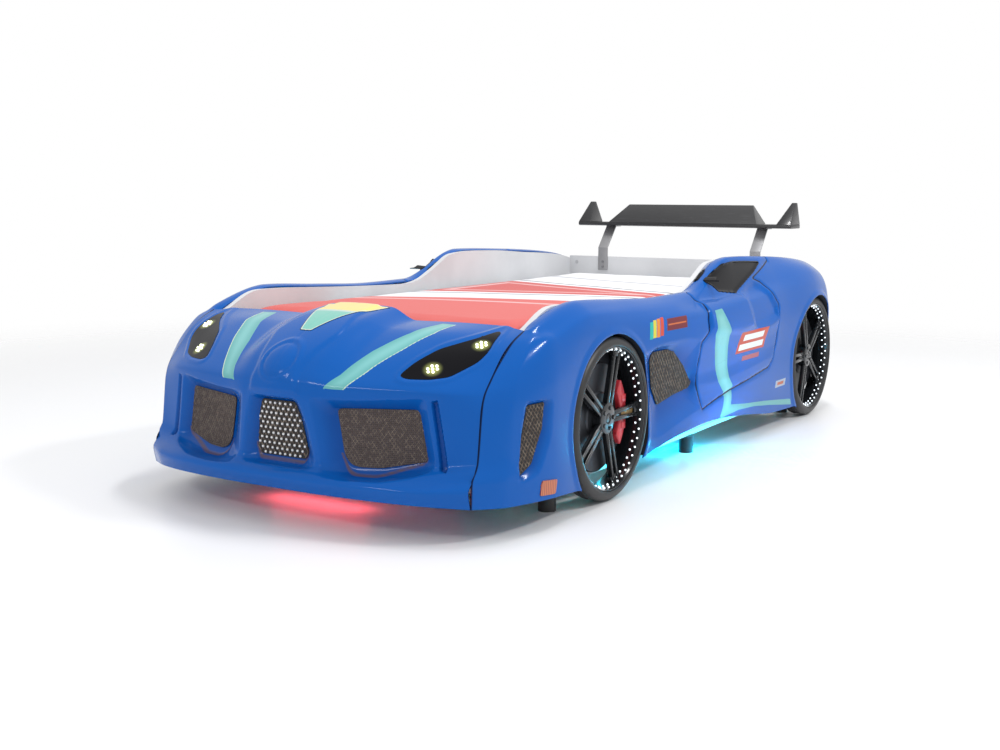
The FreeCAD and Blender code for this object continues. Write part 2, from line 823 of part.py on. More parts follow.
def mattressSection(y, inset, sink, crown):
    """One upright section of the mattress: flat base, drawn-in sides and a crowned top."""
    half = size.mattress_width / 2 - inset
    edge = size.mattress_edge
    low = size.bed_base_height
    high = low + size.mattress_thickness - sink
    waist = 3
    middle = (low + high) / 2
    points = [
        Vector(-half + edge / 2, y, low),
        Vector(half - edge / 2, y, low),
        Vector(half, y, low + edge / 2),
        Vector(half - waist, y, middle),
        Vector(half, y, high - edge),
        Vector(half - edge * 0.3, y, high - edge * 0.3),
        Vector(half - edge, y, high),
        Vector(0, y, high + crown),
        Vector(-half + edge, y, high),
        Vector(-half + edge * 0.3, y, high - edge * 0.3),
        Vector(-half, y, high - edge),
        Vector(-half + waist, y, middle),
        Vector(-half, y, low + edge / 2),
    ]
    arc = Part.Arc
    line = Part.LineSegment
    edges = [
        line(points[0], points[1]),
        line(points[1], points[2]),
        arc(points[2], points[3], points[4]),
        arc(points[4], points[5], points[6]),
        arc(points[6], points[7], points[8]),
        arc(points[8], points[9], points[10]),
        arc(points[10], points[11], points[12]),
        line(points[12], points[0]),
    ]
    return Part.Wire([edge.toShape() for edge in edges])


def buildMattress():
    """The mattress, whose top edge and ends round over and whose middle stands a little higher."""
    front_y = measure(MATTRESS_FRONT)
    rear_y = front_y + size.mattress_length
    edge = size.mattress_edge
    crown = size.mattress_crown
    ends = [(0, edge * 0.9, edge * 0.9), (edge * 0.3, edge * 0.3, edge * 0.3), (edge, 0, 0)]
    wires = [mattressSection(front_y + step, inset, sink + crown, crown * 0.6)
             for step, inset, sink in ends]
    wires.append(mattressSection((front_y + rear_y) / 2, 0, crown, crown))
    wires += [mattressSection(rear_y - step, inset, sink + crown, crown * 0.6)
              for step, inset, sink in reversed(ends)]
    shaped(Part.makeLoft(wires, True, True), "mattress")


# Wheels: each is a tyre round a five-spoked dish that hides a brake disc.

AXLES = {"front": FRONT_AXLE, "rear": REAR_AXLE}
# One spoke of a front wheel points to the tail and one of a rear wheel to the nose.
SPOKE_ANGLES = {"front": 90, "rear": -90}
RIM_FACE = "(tyre_width - rim_inset)"
DISC_BACK = "(rim_back_wall * 1.5 + disc_hat_height)"


def wheelPlacement(item, side, axle_name):
    """Stand a turned piece upright at an axle, its outer face away from the bed."""
    angle = SPOKE_ANGLES[axle_name]
    spin = FreeCAD.Rotation(Vector(0, 0, 1), angle if side > 0 else 180 - angle)
    turned = FreeCAD.Rotation(Vector(0, 1, 0), 90 * side)
    item.Placement = FreeCAD.Placement(Vector(), turned * spin)
    place(item, "%d * %s" % (side, WHEEL_BACKS[axle_name]), AXLES[axle_name], AXLE_HEIGHT)


def buildTyre(label):
    body = newBody(label)
    sketch = newSketch(body, "XZ_Plane")
    outline(sketch, [
        ("rim_radius + fit_gap", "2"),
        ("wheel_radius - 12", "0.5"),
        ("wheel_radius - 3", "7"),
        ("wheel_radius", "16"),
        ("wheel_radius", "tyre_width - 22"),
        ("wheel_radius - 3", "tyre_width - 11"),
        ("wheel_radius - 10", "tyre_width - 3"),
        ("wheel_radius - 16", "tyre_width"),
        ("rim_radius + fit_gap", "tyre_width - 4"),
    ])
    turn(body, sketch)
    return body


def buildRim(label):
    body = newBody(label)
    hub_face = RIM_FACE + " - spoke_inset + hub_rise"
    dish = newSketch(body, "XZ_Plane")
    outline(dish, [
        ("hub_bore_radius", "rim_back_wall / 2"),
        ("rim_radius", "rim_back_wall / 2"),
        ("rim_radius", RIM_FACE),
        ("rim_radius - rim_wall / 2", RIM_FACE),
        ("rim_radius - rim_wall", RIM_FACE + " - rim_wall"),
        ("rim_radius - rim_wall", "rim_back_wall * 1.5"),
        ("hub_radius", "rim_back_wall * 1.5"),
        ("hub_radius", hub_face + " - hub_bevel"),
        ("hub_radius - 2 * hub_bevel", hub_face),
        ("hub_bore_radius", hub_face),
    ])
    turn(body, dish)
    spokes = newSketch(body, "XY_Plane", RIM_FACE + " - spoke_inset - spoke_depth")
    for sign in (1, -1):
        inner = "%d * spoke_hub_gap / 2" % sign
        outer = "%d * spoke_rim_gap / 2" % sign
        width = "%d * spoke_width" % sign
        points = [
            ("hub_radius - 6", inner),
            ("rim_radius - rim_wall / 2", outer),
            ("rim_radius - rim_wall / 2", "%s + %s" % (outer, width)),
            ("hub_radius - 6", "%s + %s" % (inner, width)),
        ]
        outline(spokes, points)
    pad(body, spokes, "spoke_depth")
    polar(body, body.Group[-1], "spoke_count")
    nuts = newSketch(body, "XY_Plane", RIM_FACE + " - spoke_inset")
    circle(nuts, "nut_radius", "nut_circle_radius", "0")
    pad(body, nuts, "hub_rise + nut_rise")
    polar(body, body.Group[-1], "spoke_count")
    return body


def buildLedRing(label):
    body = newBody(label)
    ring_back = RIM_FACE + " - spoke_inset + led_strip_gap"
    flat = newSketch(body, "XY_Plane", ring_back)
    circle(flat, "rim_radius - rim_wall - fit_gap")
    circle(flat, "rim_radius - rim_wall - fit_gap - led_strip_thickness")
    pad(body, flat, "led_strip_width")
    lamp = newSketch(body, "XY_Plane", ring_back + " + led_strip_width / 4")
    circle(lamp, "led_radius", "rim_radius - rim_wall - fit_gap - led_strip_thickness - 1", "0")
    pad(body, lamp, "led_strip_width / 2")
    polar(body, body.Group[-1], "led_count")
    return body


def buildDisc(label):
    body = newBody(label)
    sketch = newSketch(body, "XZ_Plane")
    back = "rim_back_wall * 1.5"
    outline(sketch, [
        ("hub_radius + fit_gap", back),
        ("disc_hat_radius", back),
        ("disc_hat_radius", DISC_BACK),
        ("disc_radius", DISC_BACK),
        ("disc_radius", DISC_BACK + " + disc_thickness"),
        ("hub_radius + fit_gap", DISC_BACK + " + disc_thickness"),
    ])
    turn(body, sketch)
    return body


def caliper(side, axle_name):
    """An arc of a ring over the edge of the brake disc, on the side towards the bed's middle."""
    axle = AXLES[axle_name]
    depth = "caliper_depth"
    back = WHEEL_BACKS[axle_name]
    base = "%d * (%s + %s + disc_thickness + fit_gap)" % (side, back, DISC_BACK)
    direction = Vector(side, 0, 0)
    outer = rod(base, axle, AXLE_HEIGHT, "disc_radius + caliper_lap", depth, direction)
    inner = rod(base, axle, AXLE_HEIGHT, "disc_radius - caliper_band", depth, direction)
    ring = cut(outer, inner)
    low = "%d * %s - tyre_width" % (side, back)
    start = {"front": " + caliper_offset", "rear": " - caliper_offset - disc_radius"}[axle_name]
    window = block(low, axle + start, AXLE_HEIGHT + " - caliper_half_height",
                   "2 * tyre_width", "disc_radius", "2 * caliper_half_height")
    item = doc.addObject("Part::Common", "Caliper")
    item.Base = ring
    item.Tool = window
    return item


def buildWheels():
    calipers = []
    mounts = []
    for side, side_name in ((1, "left"), (-1, "right")):
        for axle_name, axle in AXLES.items():
            name = "%s_%s" % (axle_name, side_name)
            for build, part_name in ((buildTyre, "tyre"), (buildRim, "rim"),
                                     (buildLedRing, "led_ring"), (buildDisc, "brake_disc")):
                wheelPlacement(build("%s_%s" % (name, part_name)), side, axle_name)
            calipers.append(caliper(side, axle_name))
            mounts.append(rod("%d * %s" % (side, BOARD_FACE), axle, AXLE_HEIGHT, "mount_radius",
                              "%s + rim_back_wall / 2 - %s" % (WHEEL_BACKS[axle_name], BOARD_FACE),
                              Vector(side, 0, 0)))
    group(calipers, "brake_calipers")
    group(mounts, "wheel_mounts")


# Spoiler: a flat wing with a ramp in the middle and a raised end at each tip.

WING_FRONT = "(%s + wing_overhang)" % HEADBOARD_FACE
WING_TOP = "(wing_height + wing_thickness)"


def wedge(label, low_x, high_x, top_low_x, top_high_x, rise, top_depth):
    """A block on the wing that narrows towards its top, which lies over the rear edge."""
    item = doc.addObject("Part::Wedge", "Wedge")
    item.Placement = FreeCAD.Placement(Vector(), FreeCAD.Rotation(Vector(1, 0, 0), 90))
    rear = "-(%s + wing_chord)" % WING_FRONT
    bind(item, Xmin=low_x, Xmax=high_x, X2min=top_low_x, X2max=top_high_x,
         Ymin="0", Ymax=rise, Zmin=rear, Zmax="-" + WING_FRONT,
         Z2min=rear, Z2max="%s + %s" % (rear, top_depth))
    place(item, "0", "0", WING_TOP)
    return keep(item, label)


def buildBracket(label, side):
    """A bent flat bar: foot on the headboard, leaning leg and a flange under the wing."""
    body = newBody(label)
    sketch = newSketch(body, "YZ_Plane")
    front = "(%s - bracket_thickness)" % HEADBOARD_FACE
    top = "(%s + bracket_lean)" % front
    outline(sketch, [
        (front, "bracket_foot"),
        (HEADBOARD_FACE, "bracket_foot"),
        (HEADBOARD_FACE, "bracket_bend - bracket_thickness / 2"),
        ("%s + bracket_thickness" % top, "wing_height - bracket_thickness"),
        ("%s + bracket_flange" % top, "wing_height - bracket_thickness"),
        ("%s + bracket_flange" % top, "wing_height"),
        (top, "wing_height"),
        (front, "bracket_bend"),
    ])
    pad(body, sketch, "bracket_width", midplane=True)
    place(body, "%d * bracket_spacing / 2" % side)


def buildSpoiler():
    body = newBody("spoiler_wing")
    sketch = newSketch(body, "YZ_Plane")
    rear = "(%s + wing_chord)" % WING_FRONT
    outline(sketch, [
        (WING_FRONT, "wing_height + 3"),
        (WING_FRONT + " + 8", "wing_height"),
        (rear, "wing_height"),
        (rear, WING_TOP),
        (WING_FRONT, WING_TOP),
    ])
    pad(body, sketch, "2 * wing_half_span", midplane=True)
    wedge("spoiler_ramp", "-ramp_half_width", "ramp_half_width", "-ramp_top_half_width",
          "ramp_top_half_width", "ramp_rise", "ramp_top_depth")
    tip_inner = "wing_half_span - endplate_width"
    top_outer = "wing_half_span - 12"
    top_inner = top_outer + " - endplate_top_width"
    wedge("left_endplate", tip_inner, "wing_half_span", top_inner, top_outer,
          "endplate_rise", "endplate_top_depth")
    wedge("right_endplate", "-wing_half_span", "-(%s)" % tip_inner, "-(%s)" % top_outer,
          "-(%s)" % top_inner, "endplate_rise", "endplate_top_depth")
    screws = []
    for side, name in ((1, "left"), (-1, "right")):
        buildBracket(name + "_spoiler_bracket", side)
        for rise in ("screw_rise", "screw_rise + screw_spacing"):
            screws.append(rod("%d * bracket_spacing / 2" % side,
                              HEADBOARD_FACE + " - bracket_thickness",
                              "bracket_foot + " + rise, "screw_radius", "screw_head",
                              Vector(0, -1, 0)))
    group(screws, "bracket_screws")


def buildFastenings():
    """Bolt heads on the outside of the boards and cover caps on the headboard."""
    bolts = []
    head_y = HEADBOARD_FACE + " + board_thickness / 2"
    foot_y = FOOTBOARD_FACE + " - board_thickness / 2"
    for side in (1, -1):
        for y in (head_y, foot_y):
            for z in ("board_bottom + bolt_low_rise", "bed_base_height + bolt_high_rise"):
                bolts.append(rod("%d * %s" % (side, BOARD_FACE), y, z, "bolt_radius",
                                 "bolt_head", Vector(side, 0, 0)))
    group(bolts, "board_bolts")
    caps = [rod("%d * (%s - cap_inset)" % (side, HALF_BED), HEADBOARD_FACE,
                "headboard_height - cap_drop", "cap_radius", "cap_thickness", Vector(0, -1, 0))
            for side in (1, -1)]
    group(caps, "headboard_caps")


def buildLighting():
    """Light strips under the bed and their control box, with its power inlet."""
    keep(block(BOARD_FACE, "-strip_length / 2", "board_bottom + 4", "strip_thickness",
               "strip_length", "strip_height"), "left_light_strip")
    keep(block("-(%s + strip_thickness)" % BOARD_FACE, "-strip_length / 2",
               "board_bottom + 4", "strip_thickness", "strip_length", "strip_height"),
         "right_light_strip")
    keep(block("-front_strip_length / 2",
               FOOTBOARD_FACE + " - board_thickness - strip_thickness", "board_bottom + 4",
               "front_strip_length", "strip_thickness", "strip_height"), "front_light_strip")
    rear = HEADBOARD_FACE + " + board_thickness"
    case = block("-controller_length / 2", rear, "bed_base_height", "controller_length",
                 "controller_depth", "controller_height")
    inlet = rod("0", rear + " + controller_depth - inlet_depth",
                "bed_base_height + inlet_rise", "inlet_radius", "2 * inlet_depth",
                Vector(0, 1, 0))
    keep(cut(case, inlet), "light_controller")


def finish():
    """Recompute, look for anything that failed, and write each piece to its own file."""
    doc.recompute()
    for item in doc.Objects:
        if "Invalid" in item.State or "Error" in item.State:
            raise RuntimeError("%s (%s) failed" % (item.Label, item.Name))
    os.makedirs("parts", exist_ok=True)
    for item in pieces:
        if item.Shape.isNull() or not item.Shape.isValid():
            raise RuntimeError("%s has no valid shape" % item.Label)
    for item in pieces:
        item.Shape.exportStep("parts/%s.step" % item.Label)
        box = item.Shape.BoundBox
        print("%-28s %9.0f cm3  x %7.1f %7.1f  y %8.1f %8.1f  z %6.1f %6.1f" % (
            item.Label, item.Shape.Volume / 1000, box.XMin, box.XMax, box.YMin, box.YMax,
            box.ZMin, box.ZMax))
    print(len(pieces), "pieces")


frontGrid = sweep(frontStations())
buildFront(frontGrid)
buildSides(frontGrid)
buildBoards()
buildBase()
buildMattress()
buildWheels()
buildSpoiler()
buildFastenings()
buildLighting()
finish()
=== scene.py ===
import math

import bmesh
import bpy
import numpy as np
from mathutils import Matrix, Vector
from mathutils.bvhtree import BVHTree


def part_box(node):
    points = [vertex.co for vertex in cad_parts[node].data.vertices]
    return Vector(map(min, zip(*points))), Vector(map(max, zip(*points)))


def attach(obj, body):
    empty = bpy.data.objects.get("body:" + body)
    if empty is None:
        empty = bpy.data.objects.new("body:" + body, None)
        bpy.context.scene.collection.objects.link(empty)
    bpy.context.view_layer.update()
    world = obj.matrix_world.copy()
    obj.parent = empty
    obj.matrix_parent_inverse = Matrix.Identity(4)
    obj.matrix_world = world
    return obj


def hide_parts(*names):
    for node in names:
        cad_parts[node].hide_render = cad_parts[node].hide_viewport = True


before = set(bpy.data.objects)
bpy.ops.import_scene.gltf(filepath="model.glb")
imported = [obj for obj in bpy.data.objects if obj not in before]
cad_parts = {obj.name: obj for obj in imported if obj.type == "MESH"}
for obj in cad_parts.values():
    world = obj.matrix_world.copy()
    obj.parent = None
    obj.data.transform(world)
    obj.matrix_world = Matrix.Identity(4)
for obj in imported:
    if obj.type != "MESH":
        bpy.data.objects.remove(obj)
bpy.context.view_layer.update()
mm = 0.001


# shader maths: a wrapped socket whose operators add Math nodes
class Wire:
    def __init__(self, tree, socket):
        self.tree = tree
        self.socket = socket

    def maths(self, operation, *others):
        node = self.tree.nodes.new("ShaderNodeMath")
        node.operation = operation
        for i, value in enumerate((self,) + others):
            if isinstance(value, Wire):
                self.tree.links.new(value.socket, node.inputs[i])
            else:
                node.inputs[i].default_value = value
        return Wire(self.tree, node.outputs[0])

    def constant(self, value):
        node = self.tree.nodes.new("ShaderNodeValue")
        node.outputs[0].default_value = value
        return Wire(self.tree, node.outputs[0])

    def __add__(self, other):
        return self.maths("ADD", other)

    def __sub__(self, other):
        return self.maths("SUBTRACT", other)

    def __rsub__(self, other):
        return self.constant(other).maths("SUBTRACT", self)

    def __mul__(self, other):
        return self.maths("MULTIPLY", other)

    def most(self, other):
        return self.maths("MAXIMUM", other)

    def size(self):
        return self.maths("ABSOLUTE")

    # 0 below low, 1 above high, eased between
    def ramp(self, low, high):
        node = self.tree.nodes.new("ShaderNodeMapRange")
        node.interpolation_type = "SMOOTHSTEP"
        self.tree.links.new(self.socket, node.inputs["Value"])
        node.inputs["From Min"].default_value = low
        node.inputs["From Max"].default_value = high
        return Wire(self.tree, node.outputs["Result"])

    # 1 where the value is under the edge
    def under(self, edge, soft):
        return 1 - self.ramp(edge - soft, edge + soft)


# a new node in a tree: its settings first, then its sockets by name or, as _0, by number
def newNode(tree, kind, settings, sockets):
    item = tree.nodes.new(kind)
    for name, value in (settings or {}).items():
        setattr(item, name, value)
    for name, value in sockets.items():
        socket = item.inputs[int(name[1:])] if name[1:].isdigit() else item.inputs[name.replace("_", " ")]
        value = value.socket if isinstance(value, Wire) else value
        if isinstance(value, bpy.types.NodeSocket):
            tree.links.new(value, socket)
        else:
            socket.default_value = value
    return item


# a material being built: nodes by type, and links into its Principled shader
class Paint:
    def __init__(self, name, colour, roughness=0.5, **sockets):
        self.material = bpy.data.materials.new(name)
        self.material.use_nodes = True
        self.tree = self.material.node_tree
        self.shader = self.tree.nodes["Principled BSDF"]
        self.shader.inputs["Base Color"].default_value = (*colour, 1)
        self.shader.inputs["Roughness"].default_value = roughness
        for socket, value in sockets.items():
            self.shader.inputs[socket.replace("_", " ")].default_value = value

    def node(self, kind, settings=None, **sockets):
        return newNode(self.tree, "ShaderNode" + kind, settings, sockets)

    def wire(self, socket):
        return Wire(self.tree, socket)

    def place(self):
        spot = self.node("TexCoord").outputs["Object"]
        split = self.node("SeparateXYZ", Vector=spot)
        return spot, [self.wire(split.outputs[i]) for i in range(3)]

    def attribute(self, name):
        return self.wire(self.node("Attribute", {"attribute_name": name}).outputs["Fac"])

    def noise(self, vector, scale, detail=2.0, roughness=0.5):
        item = self.node("TexNoise", Vector=vector, Scale=scale, Detail=detail, Roughness=roughness)
        return self.wire(item.outputs["Fac"])

    # one colour over another where the mask is 1
    def over(self, mask, below, above):
        item = self.node("Mix", {"data_type": "RGBA"}, Factor=mask)
        for index, value in ((6, below), (7, above)):
            if isinstance(value, bpy.types.NodeSocket):
                self.tree.links.new(value, item.inputs[index])
            else:
                item.inputs[index].default_value = (*value, 1)
        return item.outputs[2]

    def link(self, value, socket):
        source = value.socket if isinstance(value, Wire) else value
        self.tree.links.new(source, self.shader.inputs[socket])
        return self

    def bump(self, height, strength, distance):
        item = self.node("Bump", Height=height, Strength=strength, Distance=distance)
        return self.link(item.outputs["Normal"], "Normal")


# a paint whose roughness drifts a little over the surface
def grainy(name, colour, scale, detail, swing, least, **sockets):
    paint = Paint(name, colour, **sockets)
    spot, _ = paint.place()
    return paint.link(paint.noise(spot, scale, detail) * swing + least, "Roughness")


# a paint of two colours that run into each other in soft patches
def mottled(name, roughness, scale, detail, span, first, second, **sockets):
    paint = Paint(name, first, roughness, **sockets)
    spot, _ = paint.place()
    return paint.link(paint.over(paint.noise(spot, scale, detail).ramp(*span), first, second), "Base Color")


# values at the spots, on curves through the knots that never swing past them
def through(knots, values, spots):
    knots = np.asarray(knots, float)
    values = np.asarray(values, float)
    tall = (-1,) + (1,) * (values.ndim - 1)
    step = np.diff(knots)
    wide = step.reshape(tall)
    rate = np.diff(values, axis=0) / wide
    slope = np.zeros_like(values)
    slope[0], slope[-1] = rate[0], rate[-1]
    before, after = rate[:-1], rate[1:]
    heavy, light = 2 * wide[1:] + wide[:-1], wide[1:] + 2 * wide[:-1]
    with np.errstate(divide="ignore", invalid="ignore"):
        mean = (heavy + light) / (heavy / before + light / after)
    slope[1:-1] = np.where(before * after > 0, mean, 0)
    spots = np.clip(np.asarray(spots, float), knots[0], knots[-1])
    i = np.clip(np.searchsorted(knots, spots, side="right") - 1, 0, len(step) - 1)
    u = ((spots - knots[i]) / step[i]).reshape(tall)
    v = 1 - u
    width = step[i].reshape(tall)
    start = (1 + 2 * u) * v * v * values[i] + u * v * v * width * slope[i]
    return start + u * u * (3 - 2 * u) * values[i + 1] - u * u * v * width * slope[i + 1]


# points of the surface through the stations, a row of keys at each place across the sweep
def swept(stations, across, down):
    spots = [spot for spot, _ in stations]
    keys = through(spots, [rows for _, rows in stations], across)
    rows = np.swapaxes(keys, 0, 1)
    return np.swapaxes(through(range(len(rows)), rows, down), 0, 1)


bed = {  # millimetres, as in the solids: the shells are swept through the same stations
    "nose": -1198, "hoodLength": 369, "edgeGap": 19, "boardFace": 471, "flank": 588,
    "seam": 480, "hood": 458, "blockRise": 31, "fender": 511, "waist": 481,
    "roof": 573, "tailTop": 450, "sill": 60, "bumper": 88, "grilleTop": 294, "grilleBottom": 166,
    "axleHeight": 208, "frontAxle": -553, "rearAxle": 955, "arch": 212, "wall": 4.5,
    "wheelStep": {"front": -2, "rear": 14},
}
frontAxle, rearAxle = bed["frontAxle"], bed["rearAxle"]
hoodCorner = bed["nose"] + bed["hoodLength"] - 2 * bed["edgeGap"] - 1


def frontStations():
    hood, base = bed["hood"], bed["bumper"]
    block, high, low = hood + bed["blockRise"], bed["grilleTop"], bed["grilleBottom"]
    rows = [  # each row keeps its own line across the car: distance behind the nose, height
        [(350, block), (350, block - 3), (350, hood - 1), (350, hood + 1), (350, hood), (330, hood - 6)],
        [(235, block - 17), (235, block - 21), (255, hood - 11), (265, hood - 12), (285, hood - 16),
         (290, hood - 21)],
        [(125, block - 57), (130, block - 61), (145, hood - 53), (185, hood - 46), (225, hood - 43),
         (247, hood - 45)],
        [(50, hood - 73), (60, hood - 78), (80, hood - 93), (125, hood - 86), (165, hood - 86),
         (200, hood - 90)],
        [(15, high + 41), (25, high + 39), (45, high + 34), (80, high + 34), (115, high + 31),
         (160, high + 28)],
        [(13, high + 11), (23, high + 9), (45, high + 6), (80, high + 11), (115, high + 11), (150, high + 1)],
        [(29, low - 2), (31, low - 4), (39, low - 4), (72, low - 2), (108, low + 2), (133, low + 8)],
        [(20, base + 52), (20, base + 52), (25, base + 52), (50, base + 53), (85, base + 55),
         (120, base + 58)],
        [(0, base + 28), (0, base + 28), (3, base + 28), (19, base + 29), (50, base + 30), (100, base + 30)],
        [(11, base + 2), (11, base + 2), (14, base + 2), (30, base + 1), (60, base - 2), (108, base - 8)],
    ]
    stations = []
    for i, share in enumerate((0, 0.19, 0.35, 0.625, 0.833, 1)):
        for side in (-1, 1) if share else (1,):
            x = side * share * bed["seam"]
            stations.append((x, [(x, bed["nose"] + row[i][0], row[i][1]) for row in rows]))
    return sorted(stations, key=lambda station: station[0])


def sideStations(front):
    def fore(share):
        return hoodCorner + (frontAxle - hoodCorner) * share

    def between(share):
        return frontAxle + (rearAxle - frontAxle) * share

    fender, waist, roof, sill = bed["fender"], bed["waist"], bed["roof"], bed["sill"]
    tail, face = -bed["nose"], bed["boardFace"]
    crown = [  # the body's top edge: fender, waist, roof and tail
        (hoodCorner, bed["hood"] - 6), (fore(0.11), fender - 45), (fore(0.30), fender - 17),
        (fore(0.49), fender - 4), (fore(0.75), fender - 5), (between(0.01), fender - 9),
        (between(0.12), waist + 11), (between(0.24), waist + 4), (between(0.345), waist),
        (between(0.392), waist + 9), (between(0.454), roof - 48), (between(0.523), roof - 6),
        (between(0.587), roof), (between(0.71), roof - 4), (between(0.84), roof - 17),
        (between(0.976), roof - 29), (rearAxle + 114, roof - 51), (tail - 49, bed["tailTop"] + 40),
        (tail, bed["tailTop"])]
    sections = [  # inset and drop of the shoulder, then insets with heights over waist and sill
        (fore(0.11), [(68, 15), (46, -46), (36, -86), (32, -161)], [(34, 140), (32, 60), (34, 8)]),
        (fore(0.68), [(58, 17), (40, -11), (34, -51), (36, -111)], [(40, 160), (42, 60), (46, -5)]),
        (between(0.08), [(63, 13), (42, -19), (32, -51), (30, -111)], [(32, 180), (34, 80), (36, 15)]),
        (between(0.246), [(66, 10), (42, -26), (24, -56), (20, -121)], [(28, 180), (28, 90), (24, 46)]),
        (between(0.378), [(73, 6), (53, -23), (20, -56), (13, -111)], [(26, 190), (22, 95), (28, 52)]),
        (between(0.578), [(78, 20), (50, -11), (18, -41), (10, -101)], [(22, 190), (18, 110), (30, 30)]),
        (between(0.777), [(73, 22), (43, 9), (18, -36), (10, -101)], [(20, 190), (20, 92), (28, -3)]),
        (between(0.976), [(58, 14), (30, 24), (8, -26), (0, -81)], [(12, 190), (16, 90), (22, -10)]),
        (rearAxle + 114, [(58, 17), (33, -1), (16, -46), (10, -101)], [(13, 190), (16, 90), (23, 30)]),
        (tail, [(73, 12), (58, -61), (48, -91), (43, -141)], [(43, 190), (43, 110), (48, 40)]),
    ]
    tops = through([y for y, _ in crown], [z for _, z in crown], [y for y, _, _ in sections])
    stations = []
    for (y, shoulder, low), top in zip(sections, tops):
        points = [(face + 0.3, y, top - 5), (face + 13, y, top - 1), (face + 28, y, top)]
        points.append((bed["flank"] - shoulder[0][0], y, top - shoulder[0][1]))
        points += [(bed["flank"] - inset, y, waist + rise) for inset, rise in shoulder[1:]]
        points += [(bed["flank"] - inset, y, sill + rise) for inset, rise in low]
        stations.append((y, np.array(points)))
    seam = swept(front, [bed["seam"]], [0, 0.45, 1.2, 3.2, 4.4, 6, 7.4, 9])[0]
    first = np.vstack([[face + 0.3, seam[0][1] + 6, seam[0][2] - 8],
                       [face + 5, seam[0][1] + 3, seam[0][2] - 3], seam])
    bow = first + (stations[0][1] - first) * (0.62, 0.30, 0.35)
    start = stations[0][0] - 200
    return [(start, first), (start + 60, bow)] + stations


# an outline with its corners rounded off
def rounded(points, radius):
    points = [np.array(point, float) for point in points]
    result = []
    for i, corner in enumerate(points):
        before, after = points[i - 1] - corner, points[(i + 1) % len(points)] - corner
        start = corner + before * min(radius / np.linalg.norm(before), 0.45)
        end = corner + after * min(radius / np.linalg.norm(after), 0.45)
        for share in (0, 0.33, 0.67, 1):
            result.append(start * (1 - share) ** 2 + 2 * corner * share * (1 - share) + end * share ** 2)
    return result


# signed distance to an outline (negative inside) and the nearest place on it
def measured(flat, outline, closed=True):
    best = np.full(len(flat), 1e12)
    foot = np.zeros_like(flat)
    inside = np.zeros(len(flat), bool)
    count = len(outline) if closed else len(outline) - 1
    for i in range(count):
        a, b = np.array(outline[i], float), np.array(outline[(i + 1) % len(outline)], float)
        along = b - a
        share = np.clip(((flat - a) @ along) / max(along @ along, 1e-9), 0, 1)
        place = a + share[:, None] * along
        gap = ((flat - place) ** 2).sum(1)
        closer = gap < best
        best[closer] = gap[closer]
        foot[closer] = place[closer]
        crosses = (a[1] > flat[:, 1]) != (b[1] > flat[:, 1])
        if closed and a[1] != b[1]:
            at = a[0] + (flat[:, 1] - a[1]) * along[0] / along[1]
            inside ^= crosses & (flat[:, 0] < at)
    distance = np.sqrt(best)
    return np.where(inside, -distance, distance), foot


# 1 inside the inner outline, 0 outside the outer one, sloping between
def sunk(flat, outer, inner):
    out = measured(flat, outer)[0]
    away = measured(flat, inner)[0]
    share = np.clip(away, 0, None) / np.clip(np.clip(away, 0, None) - np.clip(out, None, 0), 1e-6, None)
    share = np.where(out >= 0, 1, np.where(away <= 0, 0, share))
    return 1 - share


# a grid of points over a swept surface, in millimetres, with its inward normals
class Panel:
    def __init__(self, stations, across, rows, plane, lineAt):
        fine = np.linspace(0, 9, 500)
        line = swept(stations, [lineAt], fine)[0]
        length = np.concatenate([[0], np.cumsum(np.linalg.norm(np.diff(line, axis=0), axis=1))])
        self.down = np.interp(np.linspace(0, length[-1], rows), length, fine)
        self.along = lambda turns: np.interp(turns, fine, length)
        grid = swept(stations, across, self.down)
        inward = np.cross(np.gradient(grid, axis=0), np.gradient(grid, axis=1))
        inward /= np.linalg.norm(inward, axis=2)[..., None]
        wide, tall = grid.shape[:2]
        self.points = grid.reshape(-1, 3)
        self.inward = inward.reshape(-1, 3)
        self.plane = plane
        self.flat = self.points[:, plane]
        spots = np.arange(wide * tall).reshape(wide, tall)
        corners = spots[:-1, :-1], spots[:-1, 1:], spots[1:, 1:], spots[1:, :-1]
        self.faces = np.stack(corners, -1).reshape(-1, 4)
        self.turn = np.tile(self.along(self.down), wide)
        self.values = {}

    def copied(self):
        other = object.__new__(Panel)
        other.__dict__.update(self.__dict__)
        return other

    # keep one side of an outline, its edge moved onto the outline itself
    def trimmed(self, outline, inside=True, plane=None, closed=True):
        other = self.copied()
        plane = list(plane or self.plane)
        third = 3 - sum(plane)
        distance, foot = measured(self.points[:, plane], outline)
        kept = distance < 0 if inside else distance > 0
        faces = self.faces[kept[self.faces].any(1)]
        used = np.unique(faces)
        order = np.full(len(kept), -1)
        order[used] = np.arange(len(used))
        points = self.points.copy()
        snap = used[~kept[used]]
        shift = foot[snap] - points[snap][:, plane]
        normal = self.inward[snap]
        points[np.ix_(snap, plane)] = foot[snap]
        points[snap, third] -= (shift * normal[:, plane]).sum(1) / normal[:, third]
        other.points = points[used]
        other.inward = self.inward[used]
        other.flat = other.points[:, self.plane]
        other.turn = self.turn[used]
        other.faces = order[faces]
        other.values = {name: value[used] for name, value in self.values.items()}
        return other

    # the panel sunk by a depth, or by a depth at each of its points
    def lowered(self, depth):
        other = self.copied()
        other.points = self.points + self.inward * np.reshape(depth, (-1, 1))
        return other

    # a mesh of the panel, or of its mirror image on the other side of the car
    def made(self, name, material, wall=2.0, mirror=False):
        points, faces = self.points * mm, self.faces
        if mirror:
            points, faces = points * (-1, 1, 1), faces[:, ::-1]
        item = meshed(name, points, faces.tolist(), material)
        for key, value in self.values.items():
            layer = item.data.attributes.new(key, "FLOAT", "POINT")
            layer.data.foreach_set("value", value.astype(np.float32))
        return walled(item, wall)


